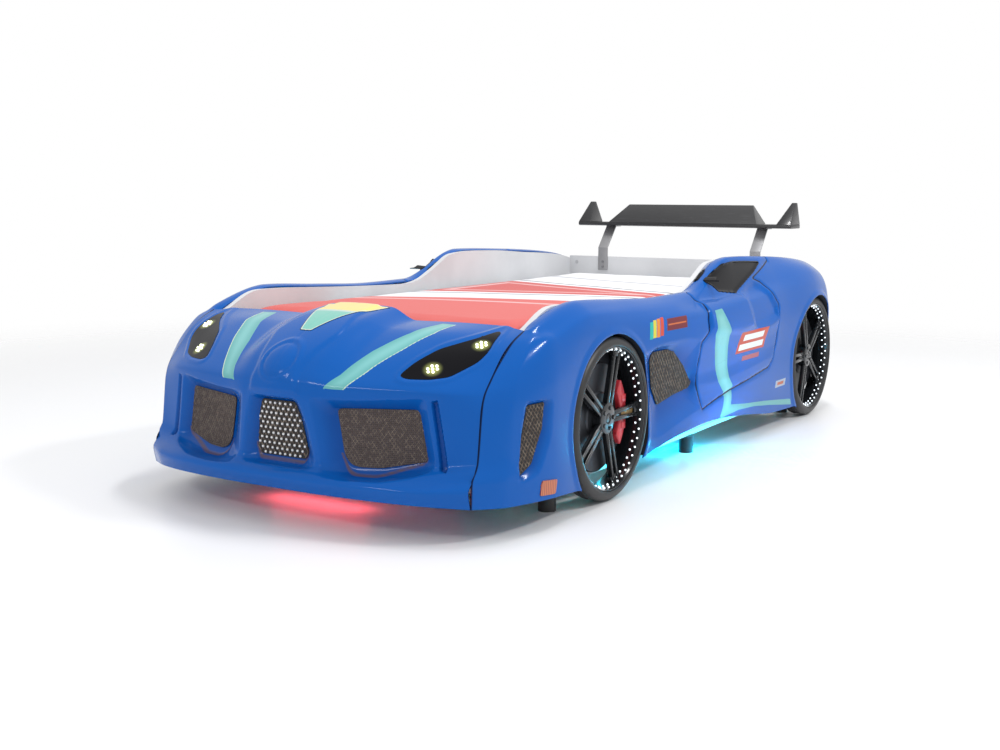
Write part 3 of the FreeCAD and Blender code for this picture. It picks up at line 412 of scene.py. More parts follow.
def placed(name, data):
    item = bpy.data.objects.new(name, data)
    bpy.context.scene.collection.objects.link(item)
    return item


def meshed(name, points, faces, material=None, smooth=True):
    data = bpy.data.meshes.new(name)
    data.from_pydata([tuple(point) for point in points], [], faces)
    data.validate()
    item = placed(name, data)
    if material:
        data.materials.append(material)
    data.polygons.foreach_set("use_smooth", [smooth] * len(data.polygons))
    return item


# the evaluated mesh becomes the object's own, with no modifiers left
def applied(item, sharp=38):
    evaluated = item.evaluated_get(bpy.context.evaluated_depsgraph_get())
    data = bpy.data.meshes.new_from_object(evaluated)
    item.modifiers.clear()
    old, item.data = item.data, data
    bpy.data.meshes.remove(old)
    data.name = item.name
    if sharp:
        data.set_sharp_from_angle(angle=math.radians(sharp))
    return item


def walled(item, wall):
    thicken = item.modifiers.new("Wall", "SOLIDIFY")
    thicken.thickness = wall * mm
    thicken.offset = -1
    return applied(item)


def bevelled(item, width):
    edges = item.modifiers.new("Edges", "BEVEL")
    edges.width = width * mm
    edges.segments = 2
    edges.limit_method = "ANGLE"
    edges.angle_limit = math.radians(30)
    edges.harden_normals = True
    return applied(item, 50)


# faces turned outward, after points closer than the merge distance have become one
def cleaned(item, merge=0):
    work = bmesh.new()
    work.from_mesh(item.data)
    if merge:
        bmesh.ops.remove_doubles(work, verts=work.verts, dist=merge)
    bmesh.ops.recalc_face_normals(work, faces=work.faces)
    work.to_mesh(item.data)
    work.free()
    return item


# what rays are cast at to find a place on a mesh
def targetOf(item):
    return BVHTree.FromPolygons([tuple(v.co) for v in item.data.vertices],
                                [tuple(p.vertices) for p in item.data.polygons])


# a node's own mesh, merged, with its edges softened
def softened(node, width, material):
    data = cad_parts[node].data.copy()
    item = placed(node + "Finish", data)
    work = bmesh.new()
    work.from_mesh(data)
    bmesh.ops.remove_doubles(work, verts=work.verts, dist=0.00002)
    bmesh.ops.dissolve_limit(work, angle_limit=math.radians(2), verts=work.verts, edges=work.edges)
    work.to_mesh(data)
    work.free()
    data.materials.clear()
    data.materials.append(material)
    data.polygons.foreach_set("use_smooth", [True] * len(data.polygons))
    return bevelled(item, width)


# a Geometry Nodes tree for repeats, with named inputs
class Tree:
    def __init__(self, name, **sizes):
        self.group = bpy.data.node_groups.new(name, "GeometryNodeTree")
        face = self.group.interface
        face.new_socket("Geometry", in_out="INPUT", socket_type="NodeSocketGeometry")
        face.new_socket("Geometry", in_out="OUTPUT", socket_type="NodeSocketGeometry")
        self.names = {}
        for size, value in sizes.items():
            kind = {int: "NodeSocketInt", float: "NodeSocketFloat"}.get(type(value), "NodeSocketMaterial")
            socket = face.new_socket(size, in_out="INPUT", socket_type=kind)
            if kind != "NodeSocketMaterial":
                socket.default_value = value
            self.names[size] = socket.identifier
        self.start = self.group.nodes.new("NodeGroupInput")
        self.end = self.group.nodes.new("NodeGroupOutput")

    def node(self, kind, settings=None, **sockets):
        return newNode(self.group, kind, settings, sockets)

    def take(self, name):
        return self.start.outputs[name]

    # end the tree, so that its result is plain geometry with its material
    def close(self, geometry):
        real = self.node("GeometryNodeRealizeInstances", Geometry=geometry)
        done = self.node("GeometryNodeSetMaterial", Geometry=real.outputs[0], Material=self.take("Finish"))
        self.group.links.new(done.outputs[0], self.end.inputs[0])
        return self

    # run the tree on an object and keep the plain mesh
    def run(self, item, sharp=40, **values):
        modifier = item.modifiers.new(self.group.name, "NODES")
        modifier.node_group = self.group
        for name, value in values.items():
            modifier[self.names[name]] = value
        item.data.update()
        return applied(item, sharp)


# a round wire along each edge of the mesh it runs on
def wireTree():
    tree = Tree("Wires", Radius=0.001, Sides=5, Finish=None)
    path = tree.node("GeometryNodeMeshToCurve", Mesh=tree.take("Geometry"))
    ring = tree.node("GeometryNodeCurvePrimitiveCircle", Resolution=tree.take("Sides"),
                     Radius=tree.take("Radius"))
    tube = tree.node("GeometryNodeCurveToMesh", Curve=path.outputs[0], Profile_Curve=ring.outputs[0])
    tube.inputs["Fill Caps"].default_value = True
    return tree.close(tube.outputs[0])


# a small bead on each point of the mesh it runs on
def beadTree():
    tree = Tree("Beads", Radius=0.002, Finish=None)
    bead = tree.node("GeometryNodeMeshIcoSphere", Radius=tree.take("Radius"), Subdivisions=2)
    face = tree.node("FunctionNodeAlignRotationToVector", {"axis": "Z"},
                     Vector=tree.node("GeometryNodeInputNormal").outputs[0])
    put = tree.node("GeometryNodeInstanceOnPoints", Points=tree.take("Geometry"), Instance=bead.outputs[0],
                    Rotation=face.outputs[0])
    return tree.close(put.outputs[0])


# copies of the mesh it runs on, turned about the X axis through a wheel's centre
def roundTree():
    tree = Tree("Round", Copies=5, Finish=None)
    points = tree.node("GeometryNodePoints", Count=tree.take("Copies"))
    index = tree.node("GeometryNodeInputIndex").outputs[0]
    share = tree.node("ShaderNodeMath", {"operation": "DIVIDE"}, _0=index, _1=tree.take("Copies"))
    angle = tree.node("ShaderNodeMath", {"operation": "MULTIPLY"}, _0=share.outputs[0], _1=2 * math.pi)
    spin = tree.node("ShaderNodeCombineXYZ", X=angle.outputs[0])
    turn = tree.node("FunctionNodeEulerToRotation", Euler=spin.outputs[0])
    put = tree.node("GeometryNodeInstanceOnPoints", Points=points.outputs[0], Instance=tree.take("Geometry"),
                    Rotation=turn.outputs[0])
    return tree.close(put.outputs[0])


wires, beads, copiesRound = wireTree(), beadTree(), roundTree()


def mirroredCopy(item, name):
    data = item.data.copy()
    data.transform(Matrix.Scale(-1, 4, (1, 0, 0)))
    data.flip_normals()
    return placed(name, data)


# one object from several, each with its own material
def joined(items, name):
    work = bmesh.new()
    materials = []
    for item in items:
        material = item.data.materials[0]
        if material not in materials:
            materials.append(material)
        start = len(work.faces)
        work.from_mesh(item.data)
        work.faces.ensure_lookup_table()
        for face in work.faces[start:]:
            face.material_index = materials.index(material)
    data = bpy.data.meshes.new(name)
    work.to_mesh(data)
    work.free()
    for material in materials:
        data.materials.append(material)
    for item in items:
        old = item.data
        bpy.data.objects.remove(item)
        bpy.data.meshes.remove(old)
    return placed(name, data)


# the piece rides on a body, in the place of these nodes
def standsFor(item, body, slot, *nodes):
    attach(item, body)
    if nodes:
        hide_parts(*nodes)


# a piece on the left and its mirror image on the right, each for its own node
def leftAndRight(item, name, slot, *nodes):
    other = mirroredCopy(item, name.replace("left", "right"))
    standsFor(item, "bed", slot, *nodes)
    standsFor(other, "bed", slot, *(node.replace("left", "right") for node in nodes))


def eased(share):
    share = np.clip(share, 0, 1)
    return share * share * (3 - 2 * share)


# 0 at an outline, 1 deeper inside it than the width
def dip(distance, width):
    return eased(-distance / width)


def signed(flat, points, radius=8):
    return measured(flat, rounded(points, radius))[0]


def circleAt(y, z, radius, count=96):
    return [(y + radius * math.cos(2 * math.pi * i / count), z + radius * math.sin(2 * math.pi * i / count))
            for i in range(count)]


print("stage: paints")


trim = {  # widths in millimetres, from the distances that the meshes carry
    "body": (0.003, 0.094, 0.40), "bandFade": 30, "bandEdge": 3.2, "bandLine": 0.4, "groove": 2.3, "lip": 2.2,
    "bandOuter": (0.20, 0.50, 0.50), "bandInner": (0.13, 0.40, 0.40), "bandBorder": (0.56, 0.66, 0.52),
    "bandShade": (0.004, 0.03, 0.06), "grooveShade": (0.001, 0.010, 0.05), "hollowShade": (0.001, 0.03, 0.20),
    "lipShade": (0.10, 0.075, 0.12),
}


# moulded plastic, glossy, with printed bands where the mesh carries their distances
def bodyPaint(name, side):
    paint = Paint(name, trim["body"], Specular_IOR_Level=0.10, Coat_Weight=0.14, Coat_Roughness=0.04)
    spot, (x, y, z) = paint.place()
    band = paint.attribute("band")
    edge = paint.attribute("bandEdge")
    tone = paint.over(band.ramp(-trim["bandFade"], 0), trim["bandOuter"], trim["bandInner"])
    tone = paint.over(edge.under(trim["bandEdge"], 0.6), tone, trim["bandBorder"])
    tone = paint.over(edge.under(trim["bandLine"], 0.5), tone, trim["bandShade"])
    mixed = paint.over(band.under(0, 0.4), trim["body"], tone)
    for lean, centre, half, low, high, shade in sideDecals if side else ():
        along = (y + z * lean - centre).size() - half
        slab = along.most((z - (low + high) / 2).size() - (high - low) / 2)
        mixed = paint.over(slab.under(0, 0.0004), mixed, shade)
    groove = paint.attribute("groove")
    mixed = paint.over(groove.size().under(trim["groove"], 0.8), mixed, trim["grooveShade"])
    mixed = paint.over(paint.attribute("hollow").ramp(0.1, 1.0) * 0.45, mixed, trim["hollowShade"])
    mixed = paint.over(paint.attribute("lip").under(trim["lip"], 1.6), mixed, trim["lipShade"])
    paint.link(mixed, "Base Color")
    paint.link(paint.noise(spot, 9.0, 3.0).ramp(0.25, 0.75) * 0.05 + 0.15, "Roughness")
    grain = paint.noise(spot, 260.0, 2.0) * 0.05 + groove.size().ramp(0, 5)
    paint.bump(grain, 0.5, 0.0012)
    return paint.material


sideDecals = [  # lean, centre, half width, bottom, top, colour: plain printed shapes, metres
    (-0.10, -0.392, 0.009, 0.388, 0.432, (0.02, 0.42, 0.36)),
    (-0.10, -0.373, 0.009, 0.390, 0.436, (0.62, 0.55, 0.06)),
    (-0.10, -0.352, 0.009, 0.390, 0.438, (0.72, 0.24, 0.03)),
    (-0.10, -0.331, 0.009, 0.392, 0.440, (0.58, 0.07, 0.04)),
    (-0.10, -0.240, 0.062, 0.402, 0.434, (0.16, 0.02, 0.03)),
    (-0.10, -0.240, 0.055, 0.416, 0.420, (0.55, 0.13, 0.04)),
    (-0.35, 0.243, 0.118, 0.288, 0.352, (0.52, 0.06, 0.03)),
    (-0.35, 0.243, 0.100, 0.296, 0.314, (0.80, 0.78, 0.76)),
    (-0.35, 0.243, 0.084, 0.324, 0.342, (0.80, 0.78, 0.76)),
    (-0.35, 0.262, 0.070, 0.262, 0.276, (0.40, 0.10, 0.12)),
    (-0.35, 0.585, 0.046, 0.140, 0.162, (0.35, 0.42, 0.52)),
    (-0.35, 0.585, 0.030, 0.146, 0.156, (0.42, 0.10, 0.05)),
]

blackGlass = Paint("blackGlass", (0.004, 0.004, 0.006), Specular_IOR_Level=0.12, Emission_Strength=1.0)
spot, _ = blackGlass.place()
glow = blackGlass.attribute("glow")
blackGlass.link(blackGlass.over(glow.ramp(0.0, 0.8), (0.004, 0.004, 0.006), (0.26, 0.28, 0.09)), "Base Color")
blackGlass.link(blackGlass.over(glow.ramp(0.0, 0.9), (0, 0, 0), (0.10, 0.11, 0.03)), "Emission Color")
blackGlass.link(blackGlass.noise(spot, 40.0, 2.0) * 0.06 + 0.08, "Roughness")

meshBrown = Paint("meshBrown", (0.035, 0.024, 0.024), 0.5)
_, (x, y, z) = meshBrown.place()
weave = ((x + z) * 700).maths("SINE") * ((x - z) * 700).maths("SINE")
tone = meshBrown.over(weave.ramp(-0.5, 0.5), (0.020, 0.015, 0.016), (0.075, 0.050, 0.048))
meshBrown.link(tone, "Base Color")
meshBrown.bump(weave, 0.6, 0.001)

meshDark = grainy("meshDark", (0.010, 0.009, 0.009), 220, 2, 0.2, 0.45)
wirePaint = mottled("wirePaint", 0.4, 90, 2, (0.4, 0.65), (0.07, 0.05, 0.04), (0.19, 0.15, 0.115),
                    Metallic=0.2)
beadPaint = grainy("beadPaint", (0.15, 0.115, 0.075), 300, 2, 0.2, 0.3, Specular_IOR_Level=0.2)
rubber = mottled("rubber", 0.42, 14, 4, (0.3, 0.75), (0.011, 0.011, 0.012), (0.022, 0.022, 0.023))
rubber.bump(rubber.noise(rubber.place()[0], 420.0, 3.0), 0.12, 0.0006)
rimPaint = grainy("rimPaint", (0.012, 0.014, 0.017), 35, 3, 0.12, 0.15, Metallic=0.25, Coat_Weight=0.4)
goldPaint = grainy("goldPaint", (0.30, 0.19, 0.07), 60, 2, 0.2, 0.3, Metallic=0.3)
discPaint = grainy("discPaint", (0.05, 0.055, 0.065), 45, 3, 0.2, 0.3, Metallic=0.7)
redPaint = mottled("redPaint", 0.33, 25, 2, (0.3, 0.7), (0.48, 0.022, 0.035), (0.62, 0.045, 0.06),
                   Coat_Weight=0.3)
lampPaint = grainy("lampPaint", (0.95, 0.95, 0.80), 500, 1, 0.2, 0.2, Emission_Color=(0.93, 1.0, 0.62, 1),
                   Emission_Strength=1.6)
dotPaint = grainy("dotPaint", (0.9, 0.95, 1.0), 500, 1, 0.2, 0.2, Emission_Color=(0.86, 0.94, 1.0, 1),
                  Emission_Strength=1.3)
# near-black paint for the wheel wells: painted shade standing in for the dark inside of the arches
linerPaint = grainy("linerPaint", (0.010, 0.012, 0.018), 30, 3, 0.2, 0.5)

amberPaint = Paint("amberPaint", (0.42, 0.10, 0.025), 0.3, Coat_Weight=0.3)
_, (x, y, z) = amberPaint.place()
# painted light and shade: lighter and darker amber stripes stand in for the light on the ribs of the marker's
# lens, which is flat here
ribs = (y * 900).maths("SINE").ramp(-0.6, 0.6)
amberPaint.link(amberPaint.over(ribs, (0.30, 0.06, 0.02), (0.55, 0.15, 0.05)), "Base Color")

badgePaint = Paint("badgePaint", (0.2, 0.6, 0.5), 0.3, Coat_Weight=0.3)
_, (x, y, z) = badgePaint.place()
tone = badgePaint.over(y.ramp(-0.952, -0.944), (0.16, 0.50, 0.42), (0.80, 0.66, 0.20))
tone = badgePaint.over(((y + 0.948).size() - 0.006).under(0, 0.0008), tone, (0.46, 0.60, 0.56))
tone = badgePaint.over(badgePaint.attribute("rimline").ramp(-4.6, -4.2), tone, (0.72, 0.78, 0.70))
tone = badgePaint.over(badgePaint.attribute("rimline").ramp(-2.2, -1.8), tone, (0.006, 0.045, 0.05))
badgePaint.link(tone, "Base Color")


print("stage: front panel")

frontRows = frontStations()
frontEdge = bed["seam"] - 0.6
half = np.concatenate([np.linspace(0, 366, 84), np.linspace(368, 428, 31), np.linspace(432, frontEdge, 12)])
front = Panel(frontRows, np.concatenate([-half[:0:-1], half]), 181, [0, 2], 0)
both = np.stack([np.abs(front.flat[:, 0]), front.flat[:, 1]], 1)
over = np.stack([np.abs(front.flat[:, 0]), front.turn], 1)


# outline points given as (across, row of the panel) in lengths along the middle line
def turned(points):
    return [(x, float(front.along(t))) for x, t in points]


nose = {  # outlines at one side, as (across, height); spine and stripes as (across, row)
    "sideOuter": [(100, 305), (195, 304), (310, 312), (366, 318), (392, 160), (357, 142), (288, 130),
                  (193, 127), (132, 130), (122, 160), (110, 240)],
    "sideInner": [(152, 281), (252, 285), (345, 287), (366, 179), (361, 172), (308, 162), (263, 153),
                  (207, 152), (186, 158), (171, 177)],
    "middleOuter": [(-10, 303), (70, 302), (94, 236), (110, 152), (98, 139), (-10, 139)],
    "middleInner": [(-10, 290), (50, 290), (63, 255), (77, 172), (68, 157), (-10, 157)],
    "slot": [(376, 310), (392, 315), (420, 152), (399, 157)],
    "crease": [(0, 124), (55, 129), (115, 131), (193, 126), (288, 129), (357, 141), (430, 155), (480, 160)],
    "spine": [(-10, -1.0), (70, 0.0), (76, 0.9), (94, 1.5), (101, 1.85), (84, 2.5), (68, 3.45), (75, 4.75),
              (95, 4.95), (-10, 4.95)],
    "stripeInner": [(132, 4.12), (158, 3.23), (188, 2.02), (230, 1.25), (258, 0.24)],
    "stripeOuter": [(300, 0.30), (290, 1.20), (256, 2.02), (212, 3.15), (182, 4.05)],
    "headlight": [(291, 361), (312, 355), (360, 355), (398, 361), (438, 391), (447, 412), (437, 446),
                  (424, 450), (398, 437), (337, 414), (308, 388)],
    "badge": [(-97, -857), (97, -857), (17, -1063), (-17, -1063)],
    "lampSpots": [(353, 2.95), (420, 1.75)], "lampGlow": 26, "clusterRadius": 11, "lampRadius": 0.0036,
    "corners": {"sideOuter": 16, "sideInner": 14, "middleOuter": 12, "middleInner": 10},
    "hollow": 24, "slotDepth": 12, "ridge": 4, "spineRise": 4.5, "brow": 2.5,
    "bossAt": 379, "bossWide": 40, "bossTall": 33,
}
corner = {name: rounded(nose[name], radius) for name, radius in nose["corners"].items()}
hollow = np.maximum(sunk(both, corner["sideOuter"], corner["sideInner"]),
                    sunk(both, corner["middleOuter"], corner["middleInner"]))
slot = dip(signed(both, nose["slot"], 4), 6)
ridge = np.clip(1 - measured(both, nose["crease"], closed=False)[0] / 17, 0, 1)
ridge *= front.flat[:, 1] < 175
spine = dip(signed(over, turned(nose["spine"]), 12), 13)
oval = np.hypot(front.flat[:, 0] / nose["bossWide"], (front.flat[:, 1] - nose["bossAt"]) / nose["bossTall"])
boss = 5 * np.sqrt(np.clip(1 - oval ** 2, 0, 1)) + 3 * np.clip(1 - np.abs(oval - 1.22) / 0.2, 0, 1)
boss *= over[:, 1] > front.along(2.0)
lamp = signed(both, nose["headlight"], 9)
band = signed(over, turned(nose["stripeInner"] + nose["stripeOuter"]), 0.1)
outerLine = measured(over, turned(nose["stripeOuter"]), closed=False)[0]
depth = nose["hollow"] * hollow + nose["slotDepth"] * slot - nose["ridge"] * ridge * (1 - hollow)
depth -= nose["spineRise"] * spine + boss
depth -= nose["brow"] * np.clip(1 - np.abs(lamp - 7) / 7, 0, 1)
lip = np.minimum(signed(both, nose["sideInner"], 12), signed(both, nose["middleInner"], 8)) - 2.5
front.values = {
    "band": np.where(both[:, 1] > 325, band, 99),
    "bandEdge": np.where(band < 2, outerLine, 99),
    "groove": np.minimum(frontEdge - both[:, 0] + 1.6, 99),
    "hollow": np.maximum(hollow, slot),
    "lip": np.where(both[:, 1] < 185, np.abs(lip), 99),
}
shell = front.lowered(depth).made("frontShell", bodyPaint("frontPaint", False), bed["wall"])
standsFor(shell, "bed", "body_shell", "front_panel")


# thin lines of a lattice kept inside an outline, laid on a patch
def latticeOn(patch, outline, lines, look, material, radius, name):
    target = targetOf(patch)
    points, edges = [], []
    for line in lines:
        flat = np.array(line)
        inside = measured(flat, outline)[0] < 0
        last = None
        for place, keep in zip(flat, inside):
            hit = target.ray_cast(*look(place))[0] if keep else None
            if hit is None:
                last = None
                continue
            points.append(hit)
            if last is not None:
                edges.append((last, len(points) - 1))
            last = len(points) - 1
    data = bpy.data.meshes.new(name)
    data.from_pydata(points, edges, [])
    return wires.run(placed(name, data), Radius=radius, Finish=material)


# a ray at a place on the front or on the left side: its start and its direction
def fromFront(place):
    return Vector((place[0] * mm, -1.4, place[1] * mm)), Vector((0, 1, 0))


def fromSide(place):
    return Vector((0.75, place[0] * mm, place[1] * mm)), Vector((-1, 0, 0))


# slanting lines over a rectangle, a gap apart, with a point at each step of height
def slanted(low, high, bottom, top, gap, lean, step):
    lines = []
    reach = abs((top - bottom) * lean)
    for start in np.arange(low - reach, high + reach, gap):
        heights = np.arange(bottom, top + step, step)
        lines.append([(start + (h - bottom) * lean, h) for h in heights])
    return lines


def crossed(box, gap, leans, step=3):
    return [line for lean in leans for line in slanted(*box, gap, lean, step)]


grille = {
    "lift": 3, "diamond": 15, "lean": 0.62, "middleBox": (-90, 90, 150, 295),
    "fine": 9, "fineLean": 0.7, "sideBox": (140, 380, 145, 290),
    "wire": 0.0017, "fineWire": 0.0007, "flankWire": 0.0014, "bead": 0.0031,
}
floor = front.lowered(nose["hollow"] - grille["lift"])
middle = rounded([(-x, z) for x, z in reversed(nose["middleInner"]) if x > 0] +
                 [(x, z) for x, z in nose["middleInner"] if x > 0], 8)
patch = floor.trimmed(middle, plane=(0, 2)).made("middleMesh", meshDark.material)
lines = crossed(grille["middleBox"], grille["diamond"], (grille["lean"], -grille["lean"]))
lattice = latticeOn(patch, middle, lines, fromFront, wirePaint.material, grille["wire"], "middleWires")
left, right, bottom, _ = grille["middleBox"]
tall = grille["diamond"] / 2 / grille["lean"]
knots = np.array([(start + ((height - bottom) * grille["lean"]) % grille["diamond"], height)
                  for height in np.arange(bottom + tall, 292, tall)
                  for start in np.arange(left, right, grille["diamond"])])
knots = knots[measured(knots, middle)[0] < -3]
target = targetOf(lattice)
spots = [target.ray_cast(*fromFront(knot))[0] for knot in knots]
seeds = meshed("seeds", [spot for spot in spots if spot], [])
seeds = beads.run(seeds, Radius=grille["bead"], Finish=beadPaint.material)
standsFor(joined([patch, lattice, seeds], "middleGrille"), "bed", "grille", "middle_grille")

inner = rounded(nose["sideInner"], 12)
patch = floor.trimmed(inner, plane=(0, 2)).made("sideMesh", meshBrown.material)
lines = crossed(grille["sideBox"], grille["fine"], (grille["fineLean"], -grille["fineLean"]))
lattice = latticeOn(patch, inner, lines, fromFront, wirePaint.material, grille["fineWire"], "sideWires")
leftAndRight(joined([patch, lattice], "left_grilleMesh"), "left_grilleMesh", "grille", "left_grille")

lampCentres = [swept(frontRows, [x], [t])[0][0] for x, t in nose["lampSpots"]]
away = np.min([np.linalg.norm(front.points - centre, axis=1) for centre in lampCentres], 0)
glass = front.lowered(-1.2)
glass.values = {"glow": np.clip(1 - away / nose["lampGlow"], 0, 1)}
glass = glass.trimmed(rounded(nose["headlight"], 9), plane=(0, 2)).made("left_lens", blackGlass.material, 3)
leftAndRight(glass, "left_lens", "window_black", "left_headlight")


# points round each lamp's middle, lifted off the surface
def lampPoints(offsets, lift=1.6):
    spots = []
    for x, t in nose["lampSpots"]:
        a, b, c = (swept(frontRows, [x + dx], [t + dt])[0][0] for dx, dt in ((0, 0), (1, 0), (0, 0.01)))
        u, v = (b - a) / np.linalg.norm(b - a), (c - a) / np.linalg.norm(c - a)
        out = np.cross(v, u)
        out *= -1 if out[1] > 0 else 1
        out /= np.linalg.norm(out)
        spots += [a + u * dx + v * dv + out * lift for dx, dv in offsets]
    return np.array(spots) * mm


cluster = circleAt(0, 0, nose["clusterRadius"], 6) + [(0, 0)]
lamps = meshed("lamps", lampPoints(cluster), [])
lamps = beads.run(lamps, Radius=nose["lampRadius"], Finish=lampPaint.material)
leftAndRight(lamps, "left_lamps", "led", "left_headlight_leds")

badge = rounded(nose["badge"], 4)
plate = front.lowered(-nose["spineRise"] * spine - 1.0)
plate.values = {"rimline": measured(plate.points[:, :2], badge)[0]}
plate = plate.trimmed(badge, plane=(0, 1)).made("badgePlate", badgePaint.material, 1.5)
standsFor(plate, "bed", "badge", "hood_badge")


print("stage: side panels")

flank = {  # outlines on the side, as (along, height)
    "ventOuter": [(-952, 305), (-862, 301), (-866, 210), (-914, 136), (-979, 122), (-968, 225)],
    "ventInner": [(-940, 294), (-883, 296), (-890, 234), (-926, 160), (-971, 136), (-959, 223)],
    "intakeOuter": [(-420, 350), (-290, 367), (-126, 370), (-54, 360), (-58, 231), (-16, 162), (-158, 140),
                    (-300, 118), (-420, 140)],
    "intakeInner": [(-337, 333), (-322, 350), (-238, 350), (-196, 340), (-118, 290), (-60, 238), (-78, 226),
                    (-186, 218), (-280, 204), (-318, 255)],
    "door": [(-1, 469), (17, 454), (10, 436), (4, 408), (6, 376), (-42, 350), (-46, 297), (-54, 231),
             (-9, 155), (80, 171), (192, 186), (352, 200), (523, 217), (557, 242), (579, 296), (575, 362),
             (579, 415), (553, 439), (531, 468), (505, 488), (456, 503), (639, 550), (640, 700), (-1, 700)],
    "window": [(121, 510), (177, 532), (248, 553), (341, 558), (557, 549), (471, 520), (367, 490), (289, 468),
               (177, 479), (151, 496)],
    "pod": [(-6, 469), (60, 470), (107, 468), (200, 474), (289, 478), (316, 458), (328, 420), (350, 386),
            (366, 352), (241, 344), (54, 356), (0, 372)],
    "behindPod": [(322, 470), (400, 494), (456, 503), (505, 488), (531, 468), (553, 439), (579, 415),
                  (575, 368), (500, 352), (371, 343), (350, 386), (328, 430)],
    "facet": [(54, 370), (241, 359), (371, 343), (575, 366)],
    "lowFacet": [(-46, 229), (84, 224), (181, 225), (330, 232), (560, 250)],
    "band": [(43, 430), (95, 432), (147, 364), (181, 225), (211, 198), (201, 179), (204, 140), (322, 126),
             (494, 111), (750, 83), (765, 62), (549, 90), (415, 105), (285, 112), (140, 106), (144, 171),
             (140, 187), (99, 222), (40, 369)],
    "hollow": 16, "vent": 12, "podRise": 8, "behind": 10, "windowDepth": 5, "flare": 4, "grooveDepth": 3.5,
    "facetRise": 4, "facetWidth": 42, "lowRise": 3, "lowWidth": 36, "rows": 111, "meshGap": 15, "ventGap": 11,
    "marker": [(-910, 84), (-850, 79), (-844, 112), (-904, 118)],
}
stations = sideStations(frontRows)
across = np.concatenate([np.arange(stations[0][0], 690, 4.7), np.linspace(690, -bed["nose"], 76)])
rows = flank["rows"]
side = Panel(stations, across, rows, [1, 2], 200)
flat = side.flat
vent = sunk(flat, rounded(flank["ventOuter"], 14), rounded(flank["ventInner"], 6))
intake = sunk(flat, rounded(flank["intakeOuter"], 12), rounded(flank["intakeInner"], 6))
door = signed(flat, flank["door"], 5)
window = signed(flat, flank["window"], 8)
fromAxles = [np.hypot(flat[:, 0] - y, flat[:, 1] - bed["axleHeight"]) for y in (frontAxle, rearAxle)]
archEdge = np.minimum(*fromAxles) - bed["arch"]
outward = np.abs(side.inward[:, 0]) > 0.25
depth = flank["hollow"] * intake + flank["vent"] * vent
depth += flank["grooveDepth"] * np.clip(1 - np.abs(door) / 7, 0, 1)
depth -= flank["podRise"] * dip(signed(flat, flank["pod"], 14), 26)
depth += flank["behind"] * dip(signed(flat, flank["behindPod"], 16), 30)
depth += flank["windowDepth"] * dip(window - 3, 8)
depth -= flank["flare"] * np.clip(1 - np.abs(archEdge - 4) / 16, 0, 1)
for line, rise, width in (("facet", flank["facetRise"], flank["facetWidth"]),
                          ("lowFacet", flank["lowRise"], flank["lowWidth"])):
    depth -= rise * np.clip(1 - measured(flat, flank[line], closed=False)[0] / width, 0, 1) * (door < 0)
depth *= outward
start = np.abs(flat[:, 0] - np.tile(side.points[:rows, 1], len(across)))
seamAway = np.where(np.repeat(np.arange(len(across)), rows) < 3, start, 99)
side.values = {
    "band": signed(flat, flank["band"], 0.1), "bandEdge": np.full(len(flat), 99.0),
    "groove": np.where(np.abs(door) < seamAway, door, seamAway),
    "hollow": np.maximum(intake, vent) * outward, "lip": np.full(len(flat), 99.0),
}


def archCut(panel):
    for axle in (frontAxle, rearAxle):
        panel = panel.trimmed(circleAt(axle, bed["axleHeight"], bed["arch"]), inside=False)
    return panel


shell = archCut(side.lowered(depth)).made("leftShell", bodyPaint("sidePaint", True), bed["wall"])
sideTarget = targetOf(shell)
leftAndRight(shell, "leftShell", "body_shell", "left_side_panel")

for name, sinks, gap, node in (("intake", flank["hollow"], flank["meshGap"], "left_intake_grille"),
                               ("vent", flank["vent"], flank["ventGap"], "left_fender_vent")):
    outline = rounded(flank[name + "Inner"], 6)
    patch = side.lowered(sinks - grille["lift"]).trimmed(outline)
    if name == "intake":
        patch = archCut(patch)
    mesh = "left_" + name + "Mesh"
    patch = patch.made(mesh, meshDark.material)
    low, high = np.min(outline, 0), np.max(outline, 0)
    lines = crossed((low[0], high[0], low[1], high[1]), gap, (0.55, -0.9))
    lattice = latticeOn(patch, outline, lines, fromSide, wirePaint.material, grille["flankWire"],
                        mesh + "Wires")
    leftAndRight(joined([patch, lattice], mesh), mesh, "grille", node)

glass = side.lowered(depth - 1.5).trimmed(rounded(flank["window"], 8))
glass = glass.made("left_pane", blackGlass.material, 3)
leftAndRight(glass, "left_pane", "window_black", "left_window")

plate = side.lowered(depth - 2.5).trimmed(rounded(flank["marker"], 5))
plate = plate.made("left_marker", amberPaint.material, 4)
markers = joined([plate, mirroredCopy(plate, "right_marker")], "markers")
standsFor(markers, "bed", "amber_plastic", "side_markers")


print("stage: wheel wells")


well = {  # millimetres: over the sill, to the arch, past the arch, behind the shell, and where no shell is
    "rise": 26, "gap": 1.5, "feel": 3, "behind": 3, "reach": 520, "steps": 73, "wall": 1.5,
}
